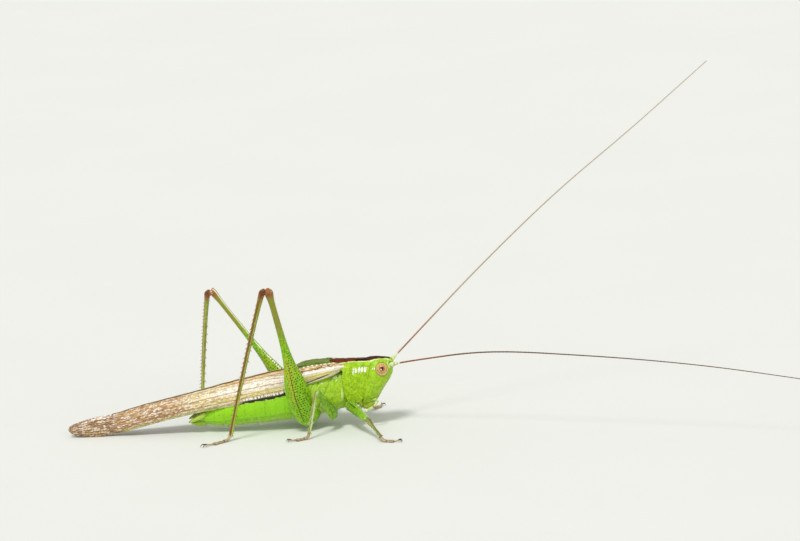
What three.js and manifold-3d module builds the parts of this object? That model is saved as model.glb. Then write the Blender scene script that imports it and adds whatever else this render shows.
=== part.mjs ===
// A slender meadow katydid (long-horned grasshopper), adult male, standing: every sub-part is one solid.
// Millimetres. +X is forward (head), +Y the animal's left, +Z up; the feet and wing tips stand on z = 0.
import * as THREE from "three";
import { mergeVertices } from "three/addons/utils/BufferGeometryUtils.js";
import Module from "manifold-3d";

const wasm = await Module();
wasm.setup();

// ---------------------------------------------------------------- driving sizes
const CUT = 0.06; // width of the thin cut that parts two neighbours
const SHELL = 0.5; // wall of the wing covers
const SLENDER = 0.25; // least radius of the feelers, shins and feet
const FLOOR_SINK = 0.03; // how far a sole is drawn below the floor before it is cut flat
const SMOOTHING = 0.008; // points nearer than this to the surface of their neighbours are left out

const TRUNK = { front: 4.35, pronotum: 2.75, waist: -0.5, split: -4.4, rear: -7.35 };
const PRONOTUM = { rear: 2.15, front: 4.86, top: 4.74, lobeRear: 2.8, lobeLow: 1.78 };
const COVER_TIP = -13.3; // tip of the fore wings
const HIND_WING_TIP = -16.4; // tip of the folded hind wings
const HEAD = { mouth: 1.12, lip: 1.72, crown: 4.86 };
const EYE = { x: 5.69, y: 0.82, z: 4.16, long: 0.42, tall: 0.44, deep: 0.37 };

// Joints of the legs from the coxa to the toe; `shin` is where the tibia starts beside the knee.
const LEGS = {
  fore_right: {
    coxa: [3.5, -0.42, 2.3], hip: [3.3, -1.0, 1.72], knee: [4.52, -3.3, 1.2], shin: [4.6, -3.4, 1.17],
    ankle: [5.45, -5.05, 0.4], toe: [6.5, -5.3, 0.22],
  },
  fore_left: {
    coxa: [3.5, 0.42, 2.3], hip: [3.3, 1.0, 1.72], knee: [4.66, 3.1, 2.32], shin: [4.69, 3.15, 2.27],
    ankle: [4.98, 3.75, 0.4], toe: [5.6, 4.55, 0.22],
  },
  mid_right: {
    coxa: [2.05, -0.5, 1.5], hip: [2.28, -1.05, 0.95], knee: [1.17, -3.2, 3.42], shin: [1.1, -3.22, 3.34],
    ankle: [0.5, -3.4, 0.4], toe: [-0.75, -3.75, 0.22],
  },
  mid_left: {
    coxa: [2.05, 0.5, 1.5], hip: [2.28, 1.05, 0.95], knee: [1.35, 3.2, 3.38], shin: [1.3, 3.24, 3.3],
    ankle: [1.1, 3.75, 0.4], toe: [-0.05, 4.35, 0.22],
  },
  hind_right: {
    coxa: [0.9, -0.62, 1.35], hip: [0.28, -1.3, 0.55], knee: [-1.83, -4.35, 11.0],
    shin: [-2.25, -4.25, 10.76], ankle: [-4.95, -2.9, 0.42], toe: [-6.75, -4.1, 0.22],
  },
  hind_left: {
    coxa: [0.9, 0.62, 1.35], hip: [0.48, 1.38, 0.6], knee: [-6.02, 2.8, 9.49], shin: [-6.3, 2.92, 9.2],
    ankle: [-7.29, 8.7, 0.42], toe: [-9.55, 8.05, 0.22],
  },
};

// Antennae: the stout two-jointed base, then points that the long flagellum passes through.
const ANTENNAE = {
  right: {
    socket: [6.3, -0.38, 4.3], base: [7.05, -0.96, 4.58],
    flagellum: [[12.67, -2.6, 5.47], [19.4, -4.6, 5.43], [27.5, -7.0, 4.95], [36.2, -9.6, 3.95]],
  },
  left: {
    socket: [6.3, 0.38, 4.42], base: [6.84, 0.96, 4.76],
    flagellum: [[12.6, 2.8, 10.05], [18.3, 4.5, 14.85], [24.2, 6.4, 19.15], [29.6, 8.0, 23.3]],
  },
};

// Jointed mouth feelers, given for the left side.
const MAXILLARY_PALP = [
  [4.6, 0.46, 1.85], [5.1, 0.85, 1.94], [5.3, 1.04, 1.84], [5.02, 1.17, 1.56], [4.44, 1.27, 1.28],
];
const LABIAL_PALP = [[4.22, 0.28, 1.42], [4.08, 0.55, 1.2], [3.92, 0.72, 0.92]];

// ---------------------------------------------------------------- small tools
const vec = (p) => new THREE.Vector3(...p);
const bump = (x, at, width) => Math.exp(-(((x - at) / width) ** 2));
const power = (v, exponent) => Math.sign(v) * Math.abs(v) ** exponent;

// A smooth value along an axis, from a few [place, value] stations in rising order.
function along(stations) {
  const last = stations.length - 1;
  const slope = (i) => {
    const a = stations[Math.max(i - 1, 0)];
    const b = stations[Math.min(i + 1, last)];
    return (b[1] - a[1]) / (b[0] - a[0]);
  };
  return (x) => {
    if (x <= stations[0][0]) return stations[0][1];
    if (x >= stations[last][0]) return stations[last][1];
    const i = stations.findIndex((s, n) => n < last && x < stations[n + 1][0]);
    const [x0, y0] = stations[i];
    const [x1, y1] = stations[i + 1];
    const h = x1 - x0;
    const s = (x - x0) / h;
    const rise = (2 * s ** 3 - 3 * s ** 2 + 1) * y0 + (3 * s ** 2 - 2 * s ** 3) * y1;
    return rise + (s ** 3 - 2 * s ** 2 + s) * h * slope(i) + (s ** 3 - s ** 2) * h * slope(i + 1);
  };
}

// A three.js geometry as a manifold solid with its faces pointing out.
function solid(geometry) {
  const bare = geometry.clone();
  for (const name of Object.keys(bare.attributes)) {
    if (name !== "position") bare.deleteAttribute(name);
  }
  const merged = mergeVertices(bare, 1e-5);
  const triVerts = new Uint32Array(merged.index.array);
  const vertProperties = merged.attributes.position.array;
  const made = new wasm.Manifold(new wasm.Mesh({ numProp: 3, vertProperties, triVerts }));
  if (made.volume() > 0) return made;
  for (let i = 0; i < triVerts.length; i += 3) {
    [triVerts[i + 1], triVerts[i + 2]] = [triVerts[i + 2], triVerts[i + 1]];
  }
  return new wasm.Manifold(new wasm.Mesh({ numProp: 3, vertProperties, triVerts }));
}

// A closed cylinder whose point at share t of its length and (a, b) on its unit disc goes to place(t, a, b).
function loft(sides, steps, place) {
  const geometry = new THREE.CylinderGeometry(1, 1, 1, sides, steps);
  const position = geometry.attributes.position;
  for (let i = 0; i < position.count; i++) {
    const p = place(position.getY(i) + 0.5, position.getX(i), position.getZ(i));
    position.setXYZ(i, p.x, p.y, p.z);
  }
  return solid(geometry);
}

const biggest = (made) => made.decompose().sort((a, b) => b.volume() - a.volume())[0];
const cutAll = (made, ...tools) => biggest(tools.reduce((left, tool) => left.subtract(tool), made));

function box(low, high) {
  const size = vec(high).sub(vec(low));
  const middle = vec(low).add(vec(high)).multiplyScalar(0.5);
  return solid(new THREE.BoxGeometry(size.x, size.y, size.z).translate(middle.x, middle.y, middle.z));
}

const floor = box([-40, -40, -9], [60, 40, 0]);

// 1 along the middle of a limb, falling to `end` at both ends over the share `over`, as a rounded tip does.
function rounded(t, over, end) {
  const near = Math.min(t, 1 - t) / over;
  return near >= 1 ? 1 : end + (1 - end) * Math.sqrt(1 - (1 - near) ** 2);
}

// A limb along a smooth path: radius(t) gives the half height (in the plane of `up`) and the half width.
function limb({ points, radius, sides = 8, steps = 10, up = [0, 0, 1], grow = 0 }) {
  const corners = points.map(vec);
  const path = corners.length > 2 ? new THREE.CatmullRomCurve3(corners) : new THREE.LineCurve3(...corners);
  const reference = vec(up);
  return loft(sides, steps, (t, a, b) => {
    const centre = path.getPointAt(t);
    const tangent = path.getTangentAt(t);
    const normal = reference.clone().addScaledVector(tangent, -reference.dot(tangent)).normalize();
    const side = tangent.clone().cross(normal);
    const [tall, wide] = radius(t);
    centre.addScaledVector(tangent, (2 * t - 1) * grow);
    return centre.addScaledVector(normal, a * (tall + grow)).addScaledVector(side, b * (wide + grow));
  });
}

// ---------------------------------------------------------------- trunk
const trunkTop = along([[-7.35, 1.35], [-6.2, 2.2], [-4.4, 2.85], [-2, 3.3], [0.3, 3.8], [2.75, 4.15]]);
const trunkLow = along([[-7.35, 0.8], [-6.2, 0.44], [-4.4, 0.42], [-2, 0.58], [0.3, 0.78], [2.75, 1.22]]);
const trunkHalf = along([[-7.35, 0.3], [-6.2, 0.86], [-4.4, 1.16], [-2, 1.28], [0.3, 1.36], [2.75, 1.14]]);

// A length of the trunk behind the pronotum, with oval sections.
function trunk(from, to, steps, grow = 0) {
  return loft(14, steps, (t, a, b) => {
    const x = THREE.MathUtils.lerp(from, to, t);
    const middle = (trunkTop(x) + trunkLow(x)) / 2;
    const tall = (trunkTop(x) - trunkLow(x)) / 2 + grow;
    return new THREE.Vector3(x + (2 * t - 1) * grow, b * (trunkHalf(x) + grow), middle + a * tall);
  });
}

// The slimmer ring of the body inside the pronotum, from the wing roots to the neck.
function prothorax(grow) {
  return loft(14, 3, (t, a, b) => {
    const x = THREE.MathUtils.lerp(TRUNK.pronotum + CUT - grow, TRUNK.front + grow, t);
    const tall = THREE.MathUtils.lerp(1.4, 1.22, t) + grow;
    const half = THREE.MathUtils.lerp(0.74, 0.48, t) + grow;
    return new THREE.Vector3(x, power(b, 0.8) * half, THREE.MathUtils.lerp(2.75, 3.0, t) + a * tall);
  });
}

// ---------------------------------------------------------------- pronotum
const pronotumHalf = along([[2.1, 1.2], [3.3, 1.2], [4.9, 1.0]]);

// Its outside: a saddle with a flat back and deep upright side lobes.
function pronotumArch(grow) {
  return loft(18, 4, (t, a, b) => {
    const x = THREE.MathUtils.lerp(PRONOTUM.rear - 0.1 - grow, PRONOTUM.front + 0.1 + grow, t);
    const middle = (PRONOTUM.top + 1.72) / 2;
    const tall = (PRONOTUM.top - 1.72) / 2 + grow;
    return new THREE.Vector3(x, power(b, 0.75) * (pronotumHalf(x) + grow), middle + power(a, 0.7) * tall);
  });
}

// Its outline from the side: the hind edge slopes to the shoulder and the lobe is rounded below.
function pronotumSide(grow) {
  const { rear, front, top, lobeRear, lobeLow } = PRONOTUM;
  const shape = new THREE.Shape();
  shape.moveTo(rear - grow, top + 1);
  shape.lineTo(rear - grow, top - 0.25);
  shape.quadraticCurveTo(rear + 0.3, top - 0.6, lobeRear - grow, top - 0.85);
  shape.lineTo(lobeRear + 0.04 - grow, 2.35);
  shape.quadraticCurveTo(lobeRear + 0.15 - grow, lobeLow - grow, 3.5, lobeLow - grow);
  shape.quadraticCurveTo(4.1 + grow, lobeLow - grow, 4.35 + grow, 2.5);
  shape.lineTo(4.55 + grow, 4.0);
  shape.lineTo(front + grow, top - 0.3);
  shape.lineTo(front + grow, top + 1);
  const wide = 4;
  const plate = new THREE.ExtrudeGeometry(shape, { depth: wide, bevelEnabled: false, curveSegments: 4 });
  return solid(plate.rotateX(Math.PI / 2).translate(0, wide / 2, 0));
}

const pronotumOuter = (grow) => pronotumArch(grow).intersect(pronotumSide(grow));

// ---------------------------------------------------------------- wings
const coverTop = along([
  [-13.4, 1.5], [-10.8, 2.17], [-8.1, 2.75], [-5, 3.47], [-1.4, 4.19], [0.5, 4.54], [1.6, 4.68], [2.9, 4.7],
]);
const coverLow = along([
  [-13.4, 0.12], [-12.2, 0.4], [-10.2, 0.92], [-8.1, 1.42], [-5.9, 1.83], [-4.2, 2.1], [-2.2, 2.4],
  [-1, 2.66], [0.7, 3.3], [1.6, 3.58], [2.4, 3.86], [2.9, 4.05],
]);
const coverHalf = along([
  [-13.4, 0.5], [-11, 0.66], [-8, 0.98], [-4, 1.24], [-1, 1.38], [1, 1.36], [2.9, 1.16],
]);

// Both fore wings, `inset` inside their outer face: a ridged roof behind, with a flat back over the thorax.
function roof(inset) {
  const deep = inset > 0 ? 1.2 : -inset; // the hollow runs out through the open underside
  return loft(14, 16, (t, a, b) => {
    const x = THREE.MathUtils.lerp(COVER_TIP + inset, 2.85, t);
    const close = rounded(Math.min(t, 0.5), 0.09, 0.45);
    const top = coverTop(x) - inset;
    const low = coverLow(x) - deep;
    const tall = ((top - low) / 2) * (inset > 0 ? 1 : close);
    const front = THREE.MathUtils.smoothstep(x, -1.6, 0.5);
    const slope = THREE.MathUtils.lerp(0.8, 0.42, front);
    const shoulder = 1 - slope * Math.max(a, 0) ** THREE.MathUtils.lerp(2.2, 3, front);
    const half = Math.max(coverHalf(x) - inset, 0.02) * shoulder * close;
    return new THREE.Vector3(x, power(b, 0.55) * half, (top + low) / 2 + power(a, 0.55) * tall);
  });
}

// One fore wing: its side of the roof, hollow where the body lies under it.
function foreWing(side, grow) {
  const near = side * (CUT / 2 - grow);
  const far = side * 3;
  const half = box([-20, Math.min(near, far), -1], [4, Math.max(near, far), 6]);
  return roof(-grow).subtract(roof(SHELL + grow)).intersect(half);
}

// One folded hind wing beyond the tip of the fore wings: a flat blade that rests on the floor.
const hindTop = along([[-16.4, 0.75], [-15.5, 1.0], [-13.2, 1.52]]);
const hindLow = along([[-16.4, 0.42], [-15.9, 0.16], [-15.2, 0.0], [-13.2, -FLOOR_SINK]]);
function hindWing(side) {
  return loft(10, 8, (t, a, b) => {
    const x = THREE.MathUtils.lerp(HIND_WING_TIP, COVER_TIP + 0.7, t);
    const close = Math.sqrt(Math.min(1, t * 4 + 0.08));
    const tall = ((hindTop(x) - hindLow(x)) / 2) * close;
    const half = 0.25 * close;
    return new THREE.Vector3(x, side * (half + CUT / 2) + b * half, (hindTop(x) + hindLow(x)) / 2 + a * tall);
  });
}

// ---------------------------------------------------------------- head
const faceFront = along([
  [1.12, 4.42], [1.3, 4.62], [1.5, 4.9], [1.7, 5.16], [1.95, 5.4], [2.55, 5.76], [3.2, 6.16], [3.7, 6.42],
  [4.4, 6.56], [4.86, 6.2],
]);
const headRear = along([[1.12, 4.0], [2.2, 4.1], [4.0, 4.4], [4.86, 4.6]]);
const headHalf = along([
  [1.12, 0.4], [1.7, 0.74], [2.5, 0.98], [3.4, 1.02], [4.1, 0.88], [4.6, 0.62], [4.86, 0.35],
]);

// The head capsule from the mouth to the crown: narrow in front between the feelers, and again at the neck.
function headCapsule(grow) {
  return loft(16, 12, (t, a, b) => {
    const z = THREE.MathUtils.lerp(HEAD.mouth, HEAD.crown, t);
    const front = faceFront(z) + grow;
    const rear = headRear(z) - grow;
    const beak = 0.5 * THREE.MathUtils.smoothstep(z, 3.5, 4.6) * Math.max(a, 0) ** 2;
    const neck = 0.5 * THREE.MathUtils.smoothstep(z, 1.6, 2.6) * Math.max(-a, 0) ** 2;
    const x = (front + rear) / 2 + (a * (front - rear)) / 2;
    return new THREE.Vector3(x, b * (headHalf(z) + grow) * (1 - beak - neck), z + (2 * t - 1) * grow);
  });
}

const belowLip = (grow) => box([0, -3, -1], [9, 3, HEAD.lip + grow]);

function eye(side, grow) {
  const ball = new THREE.SphereGeometry(1, 12, 8);
  ball.scale(EYE.long + grow, EYE.deep + grow, EYE.tall + grow);
  return solid(ball.translate(EYE.x, side * EYE.y, EYE.z));
}

function palp(side, points, grow = 0) {
  const mirrored = points.map(([x, y, z]) => [x, side * y, z]);
  const radius = (t) => [SLENDER, SLENDER].map((r) => r * rounded(t, 0.12, 0.5));
  return limb({ points: mirrored, radius, steps: 8, sides: 6, grow });
}

// ---------------------------------------------------------------- antennae
function antennaBase(spec, grow = 0) {
  const radius = (t) => [0.27, 0.27].map((r) => (r - 0.02 * bump(t, 0.62, 0.1)) * rounded(t, 0.1, 0.7));
  return limb({ points: [spec.socket, spec.base], radius, steps: 6, sides: 7, grow });
}

// A share of the flagellum, which is divided at its middle into an inner and an outer length.
function flagellum(spec, from, to, steps) {
  const path = new THREE.CatmullRomCurve3([spec.base, ...spec.flagellum].map(vec));
  const gap = CUT / path.getLength();
  const share = (t) => THREE.MathUtils.lerp(from + gap, to, t);
  const points = Array.from({ length: steps + 1 }, (_, i) => path.getPointAt(share(i / steps)).toArray());
  const radius = (t) => [SLENDER, SLENDER].map((r) => r * (share(t) > 0.985 ? 0.6 : 1));
  return limb({ points, radius, steps, sides: 6 });
}

// ---------------------------------------------------------------- legs
const hindThigh = along([
  [0, 0.36], [0.07, 0.64], [0.14, 0.78], [0.22, 0.85], [0.3, 0.76], [0.37, 0.62], [0.44, 0.43], [0.52, 0.33],
  [0.6, 0.27], [0.75, 0.25], [0.9, 0.25], [1, 0.29],
]);

// Radii of each kind of leg along its joints.
const LEG_SHAPES = {
  fore: {
    coxa: (t) => [0.36 - 0.06 * t, 0.34 - 0.06 * t],
    femur: (t) => [0.37 - 0.11 * t, 0.3 - 0.05 * t].map((r) => r * rounded(t, 0.1, 0.6)),
    tibia: (t) => [SLENDER + 0.04 * bump(t, 0.18, 0.12), SLENDER].map((r) => r * rounded(t, 0.08, 0.6)),
    steps: [7, 6],
  },
  mid: {
    coxa: (t) => [0.38 - 0.06 * t, 0.36 - 0.06 * t],
    femur: (t) => [0.4 - 0.14 * t, 0.31 - 0.05 * t].map((r) => r * rounded(t, 0.1, 0.6)),
    tibia: (t) => [SLENDER, SLENDER].map((r) => r * rounded(t, 0.08, 0.6)),
    steps: [7, 6],
  },
  hind: {
    coxa: (t) => [0.56 - 0.14 * t, 0.5 - 0.1 * t],
    femur: (t) => {
      const tall = hindThigh(t);
      return [tall, Math.max(SLENDER, 0.58 * tall)].map((r) => r * rounded(t, 0.02, 0.7));
    },
    tibia: (t) => [SLENDER + 0.03 * bump(t, 0.98, 0.03), SLENDER].map((r) => r * rounded(t, 0.02, 0.7)),
    steps: [16, 8],
  },
};

// The tarsus: short joints with broad soles, cut flat where they stand on the floor, and two claws.
function tarsus(spec) {
  const ankle = vec(spec.ankle);
  const toe = vec(spec.toe);
  const sole = SLENDER - FLOOR_SINK;
  const forward = toe.clone().sub(ankle).setZ(0).normalize();
  const across = new THREE.Vector3(-forward.y, forward.x, 0);
  const stations = [ankle.clone().setZ(ankle.z - 0.04)];
  stations.push(ankle.clone().lerp(toe, 0.22).setZ(sole + 0.04));
  stations.push(ankle.clone().lerp(toe, 0.62).setZ(sole));
  stations.push(toe.clone().setZ(sole));
  const radius = (t) => {
    const lobes = 0.07 * (bump(t, 0.4, 0.07) + 1.2 * bump(t, 0.66, 0.08));
    return [SLENDER, SLENDER + lobes].map((r) => r * rounded(t, 0.08, 0.6));
  };
  let foot = limb({ points: stations.map((p) => p.toArray()), radius, steps: 8, sides: 6 });
  for (const side of [-1, 1]) {
    const root = toe.clone().addScaledVector(forward, -0.1).setZ(sole);
    const tip = root.clone().addScaledVector(forward, 0.42).addScaledVector(across, side * 0.26).setZ(0.16);
    const claw = (t) => [0.16 - 0.05 * t, 0.16 - 0.05 * t];
    foot = foot.add(limb({ points: [root.toArray(), tip.toArray()], radius: claw, steps: 1, sides: 5 }));
  }
  return cutAll(foot, floor);
}

// The parts of one leg: each gives way to the joint above it.
function leg(kind, spec) {
  const shape = LEG_SHAPES[kind];
  const [thighSteps, shinSteps] = shape.steps;
  const thigh = vec(spec.knee).sub(vec(spec.hip));
  const shin = vec(spec.ankle).sub(vec(spec.shin));
  const up = thigh.clone().sub(shin).toArray(); // limbs are tallest in the plane of the knee
  const joint = (from, to, radius, steps) => (grow) => limb({ points: [from, to], radius, steps, up, grow });
  const coxa = joint(spec.coxa, spec.hip, shape.coxa, 3);
  const femur = joint(spec.hip, spec.knee, shape.femur, thighSteps);
  const tibia = joint(spec.shin, spec.ankle, shape.tibia, shinSteps);
  return {
    coxa,
    femur,
    tibia: cutAll(tibia(0), femur(CUT)),
    tarsus: cutAll(tarsus(spec), tibia(CUT)),
  };
}

// ---------------------------------------------------------------- tail end
const cercus = (side, grow = 0) =>
  limb({
    points: [[-6.6, side * 0.62, 1.4], [-7.2, side * 0.7, 1.12], [-7.95, side * 0.48, 0.78]],
    radius: (t) => [SLENDER, SLENDER].map((r) => r * rounded(t, 0.2, 0.5)),
    steps: 6,
    sides: 7,
    grow,
  });

const subgenitalPlate = (grow) =>
  limb({
    points: [[-6.7, 0, 0.66], [-7.8, 0, 0.76]],
    radius: (t) => [0.27 - 0.02 * t, 0.42 - 0.12 * t].map((r) => r * rounded(t, 0.15, 0.6)),
    steps: 5,
    grow,
  });

// ---------------------------------------------------------------- colours
function colour(hex, roughness = 0.45) {
  return new THREE.MeshStandardMaterial({ color: hex, roughness, metalness: 0 });
}

const COLOURS = {
  skin: colour(0x86b523),
  shield: colour(0x7fae24),
  eye: colour(0xb5714a, 0.25),
  feeler: colour(0x8a5636, 0.5),
  cover: colour(0xb8957a, 0.4),
  hindWing: colour(0xa28268, 0.4),
  leg: colour(0x7ba32a),
  shin: colour(0x8a6a2c),
  foot: colour(0x9a8458, 0.5),
};

// ---------------------------------------------------------------- assembly
const katydid = new THREE.Group();

// Adds a solid to the group as one named mesh.
function addMesh(name, made, material) {
  const data = biggest(biggest(made).simplify(SMOOTHING)).getMesh();
  const geometry = new THREE.BufferGeometry();
  const points = new Float32Array(data.numVert * 3);
  for (let i = 0; i < data.numVert; i++) {
    points.set(data.vertProperties.subarray(i * data.numProp, i * data.numProp + 3), i * 3);
  }
  geometry.setAttribute("position", new THREE.BufferAttribute(points, 3));
  geometry.setIndex(new THREE.BufferAttribute(new Uint32Array(data.triVerts), 1));
  geometry.computeVertexNormals();
  const mesh = new THREE.Mesh(geometry, material);
  mesh.name = name;
  katydid.add(mesh);
}

const SIDES = { right: -1, left: 1 };
const legs = {};
for (const [name, spec] of Object.entries(LEGS)) legs[name] = leg(name.split("_")[0], spec);
const covers = Object.values(SIDES).map((side) => foreWing(side, CUT));
const coxae = Object.values(legs).map((made) => made.coxa(CUT));
const eyes = Object.values(SIDES).map((side) => eye(side, CUT));
const wholeHead = headCapsule(CUT);
const wholeTrunk = trunk(TRUNK.rear, TRUNK.pronotum, 16, CUT);

addMesh("pronotum", cutAll(pronotumOuter(0), prothorax(CUT), wholeHead), COLOURS.shield);
addMesh("prothorax", cutAll(prothorax(0), wholeHead, ...coxae), COLOURS.skin);
const thorax = trunk(TRUNK.waist + CUT, TRUNK.pronotum, 5);
addMesh("thorax", cutAll(thorax, pronotumOuter(CUT), ...covers, ...coxae), COLOURS.skin);
const belly = trunk(TRUNK.split + CUT, TRUNK.waist, 6);
addMesh("abdomen_front", cutAll(belly, ...covers, ...coxae), COLOURS.skin);
const tail = trunk(TRUNK.rear, TRUNK.split, 6);
addMesh("abdomen_rear", cutAll(tail, ...covers, subgenitalPlate(CUT)), COLOURS.skin);
addMesh("subgenital_plate", subgenitalPlate(0), COLOURS.skin);
addMesh("head", cutAll(headCapsule(0), belowLip(CUT / 2), ...eyes), COLOURS.skin);
addMesh("mouthparts", headCapsule(0).intersect(belowLip(-CUT / 2)), COLOURS.skin);

for (const [name, side] of Object.entries(SIDES)) {
  const spec = ANTENNAE[name];
  const maxillary = palp(side, MAXILLARY_PALP);
  const labial = palp(side, LABIAL_PALP);
  addMesh("eye_" + name, eye(side, 0), COLOURS.eye);
  addMesh("antenna_base_" + name, cutAll(antennaBase(spec), wholeHead, ...eyes), COLOURS.feeler);
  const inner = flagellum(spec, 0, 0.5, 9);
  addMesh("antenna_inner_" + name, cutAll(inner, antennaBase(spec, CUT)), COLOURS.feeler);
  addMesh("antenna_outer_" + name, flagellum(spec, 0.5, 1, 9), COLOURS.feeler);
  addMesh("maxillary_palp_" + name, cutAll(maxillary, wholeHead), COLOURS.skin);
  addMesh("labial_palp_" + name, cutAll(labial, wholeHead, palp(side, MAXILLARY_PALP, CUT)), COLOURS.skin);
  addMesh("fore_wing_" + name, cutAll(foreWing(side, 0), pronotumOuter(CUT)), COLOURS.cover);
  addMesh("hind_wing_" + name, cutAll(hindWing(side), ...covers, floor), COLOURS.hindWing);
  addMesh("cercus_" + name, cutAll(cercus(side), wholeTrunk, subgenitalPlate(CUT), ...covers), COLOURS.skin);
}

for (const [name, made] of Object.entries(legs)) {
  addMesh(name + "_coxa", cutAll(made.coxa(0), pronotumOuter(CUT), made.femur(CUT)), COLOURS.leg);
  addMesh(name + "_femur", cutAll(made.femur(0), wholeTrunk, prothorax(CUT), ...covers), COLOURS.leg);
  addMesh(name + "_tibia", made.tibia, COLOURS.shin);
  addMesh(name + "_tarsus", made.tarsus, COLOURS.foot);
}

// The origin is on the floor, under the middle of the whole animal, feelers included.
const bounds = new THREE.Box3().setFromObject(katydid);
const middle = bounds.getCenter(new THREE.Vector3());
katydid.position.set(-middle.x, -middle.y, -bounds.min.z);

export default katydid;
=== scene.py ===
import math

import bpy
import numpy as np
from mathutils import Matrix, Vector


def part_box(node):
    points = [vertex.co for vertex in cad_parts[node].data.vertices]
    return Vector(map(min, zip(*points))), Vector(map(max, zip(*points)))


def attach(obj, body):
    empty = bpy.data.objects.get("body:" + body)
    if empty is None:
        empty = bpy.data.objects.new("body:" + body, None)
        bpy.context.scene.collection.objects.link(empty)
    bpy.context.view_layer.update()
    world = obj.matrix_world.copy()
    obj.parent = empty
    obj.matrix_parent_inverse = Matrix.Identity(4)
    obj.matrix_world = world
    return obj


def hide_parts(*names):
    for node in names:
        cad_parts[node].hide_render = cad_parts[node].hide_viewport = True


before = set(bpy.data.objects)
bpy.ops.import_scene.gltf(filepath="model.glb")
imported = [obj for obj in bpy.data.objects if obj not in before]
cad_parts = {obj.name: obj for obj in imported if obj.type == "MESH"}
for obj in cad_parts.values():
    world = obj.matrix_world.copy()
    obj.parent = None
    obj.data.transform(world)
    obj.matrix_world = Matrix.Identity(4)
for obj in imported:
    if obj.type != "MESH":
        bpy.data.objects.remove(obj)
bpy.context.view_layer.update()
print("frame loaded")

# All shapes are worked out in mm on the animal's own axes: x towards the head, y to its left, z up.
# `anchor` is where those axes lie in the frame, found from the middle of its two eyes.
eyeSeat = np.array([5.69, 0.0, 4.16])
eyeCorners = np.array([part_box(node) for node in ("eye_right", "eye_left")]) * 1000
anchor = eyeCorners.reshape(-1, 3).mean(0) - eyeSeat
sides = dict(right=-1, left=1)


def unit(vectors):  # the same directions, of length one
    return vectors / np.maximum(np.linalg.norm(vectors, axis=-1, keepdims=True), 1e-12)


def mixed(low, high, share):
    return low + (high - low) * share


def rise(x, low, high):  # smoothly from 0 below `low` to 1 above `high`: s^2 (3 - 2 s)
    share = np.clip((x - low) / (high - low), 0, 1)
    return share * share * (3 - 2 * share)


def fall(x, low, high):  # smoothly from 1 to 0
    return 1 - rise(x, low, high)


def hump(x, at, width):  # a bell of height one: exp(-((x - at) / width)^2)
    return np.exp(-(((x - at) / width) ** 2))


def hashed(a, b, seed):  # steady scatter from 0 to 1
    value = np.sin(a * 127.1 + b * 311.7 + seed * 74.7) * 43758.5453
    return value - np.floor(value)


# Values at lattice corners blended across each square, from -1 to 1.
def softNoise(u, v, seed):
    a, b = np.floor(u), np.floor(v)
    s, t = rise(u - a, 0, 1), rise(v - b, 0, 1)
    low = mixed(hashed(a, b, seed), hashed(a + 1, b, seed), s)
    high = mixed(hashed(a, b + 1, seed), hashed(a + 1, b + 1, seed), s)
    return mixed(low, high, t) * 2 - 1


# Dashes of uneven length along x, `rate` of them to a mm.
def dashes(x, rate, seed):
    cell = np.floor(x * rate)
    part = x * rate - cell
    end = 0.5 + 0.35 * hashed(cell, 1, seed)
    return rise(part, 0, 0.12) * fall(part, end, end + 0.12)


# Spikes of uneven height along x: height x (1 - |2 part - 1|) in each cell.
def spikes(x, rate, seed):
    cell = np.floor(x * rate)
    return (1 - np.abs(2 * (x * rate - cell) - 1)) * (0.25 + 0.75 * hashed(cell, 2, seed))


# How near each point is to the wall between its two nearest jittered seeds: 1 on the wall, 0 inside a cell.
def cellWalls(u, v, wall, jitter, seed):
    column, row = np.floor(u), np.floor(v)
    nearest = np.full(np.broadcast(u, v).shape, 9.0)
    second = nearest.copy()
    for du in (-1, 0, 1):
        for dv in (-1, 0, 1):
            a, b = column + du, row + dv
            away = np.hypot(a + 0.5 + jitter * (hashed(a, b, seed) - 0.5) - u + 0.5 * (b % 2),
                            b + 0.5 + jitter * (hashed(a, b, seed + 5) - 0.5) - v)
            second = np.minimum(second, np.maximum(nearest, away))
            nearest = np.minimum(nearest, away)
    return rise(1 - (second - nearest) / wall, 0, 1)


# A smooth curve through [place, value] pairs: cubic pieces whose slopes come from the neighbours.
def curveThrough(stations):
    places, values = np.array(stations, float).T
    slopes = np.gradient(values, places) if len(places) < 3 else np.empty_like(values)
    if len(places) > 2:
        slopes[1:-1] = (values[2:] - values[:-2]) / (places[2:] - places[:-2])
        slopes[[0, -1]] = np.diff(values)[[0, -1]] / np.diff(places)[[0, -1]]

    def at(x):
        x = np.clip(x, places[0], places[-1])
        i = np.clip(np.searchsorted(places, x, side="right") - 1, 0, len(places) - 2)
        step = places[i + 1] - places[i]
        s = (x - places[i]) / step
        level = (2 * s**3 - 3 * s**2 + 1) * values[i] + (3 * s**2 - 2 * s**3) * values[i + 1]
        return level + step * ((s**3 - 2 * s**2 + s) * slopes[i] + (s**3 - s**2) * slopes[i + 1])

    return at


# A curve in space through the points, with `count` places evenly far apart along it.
def smoothPath(points, count):
    points = np.asarray(points, float)
    reach = np.r_[0, np.cumsum(np.linalg.norm(np.diff(points, axis=0), axis=1))]
    places = np.linspace(0, reach[-1], count)
    return np.stack([curveThrough(np.c_[reach, points[:, i]])(places) for i in range(3)], 1)


# Shares from 0 to 1 that crowd together in the first and last `cap`, so that round ends stay round.
def endRows(count, cap):
    ease = (1 - np.cos(np.linspace(0, np.pi / 2, 8)[:-1])) * cap
    return np.r_[ease, np.linspace(cap, 1 - cap, count), 1 - ease[::-1]]


# One along the middle, falling as a quarter circle to `blunt` at both ends.
def roundEnds(share, cap, blunt=0.0):
    near = np.clip(np.minimum(share, 1 - share) / cap, 0, 1)
    return blunt + (1 - blunt) * np.sqrt(np.maximum(1 - (1 - near) ** 2, 0))


def fullTurn(count):  # angles evenly round a circle
    return np.linspace(0, 2 * np.pi, count, endpoint=False)


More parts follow.
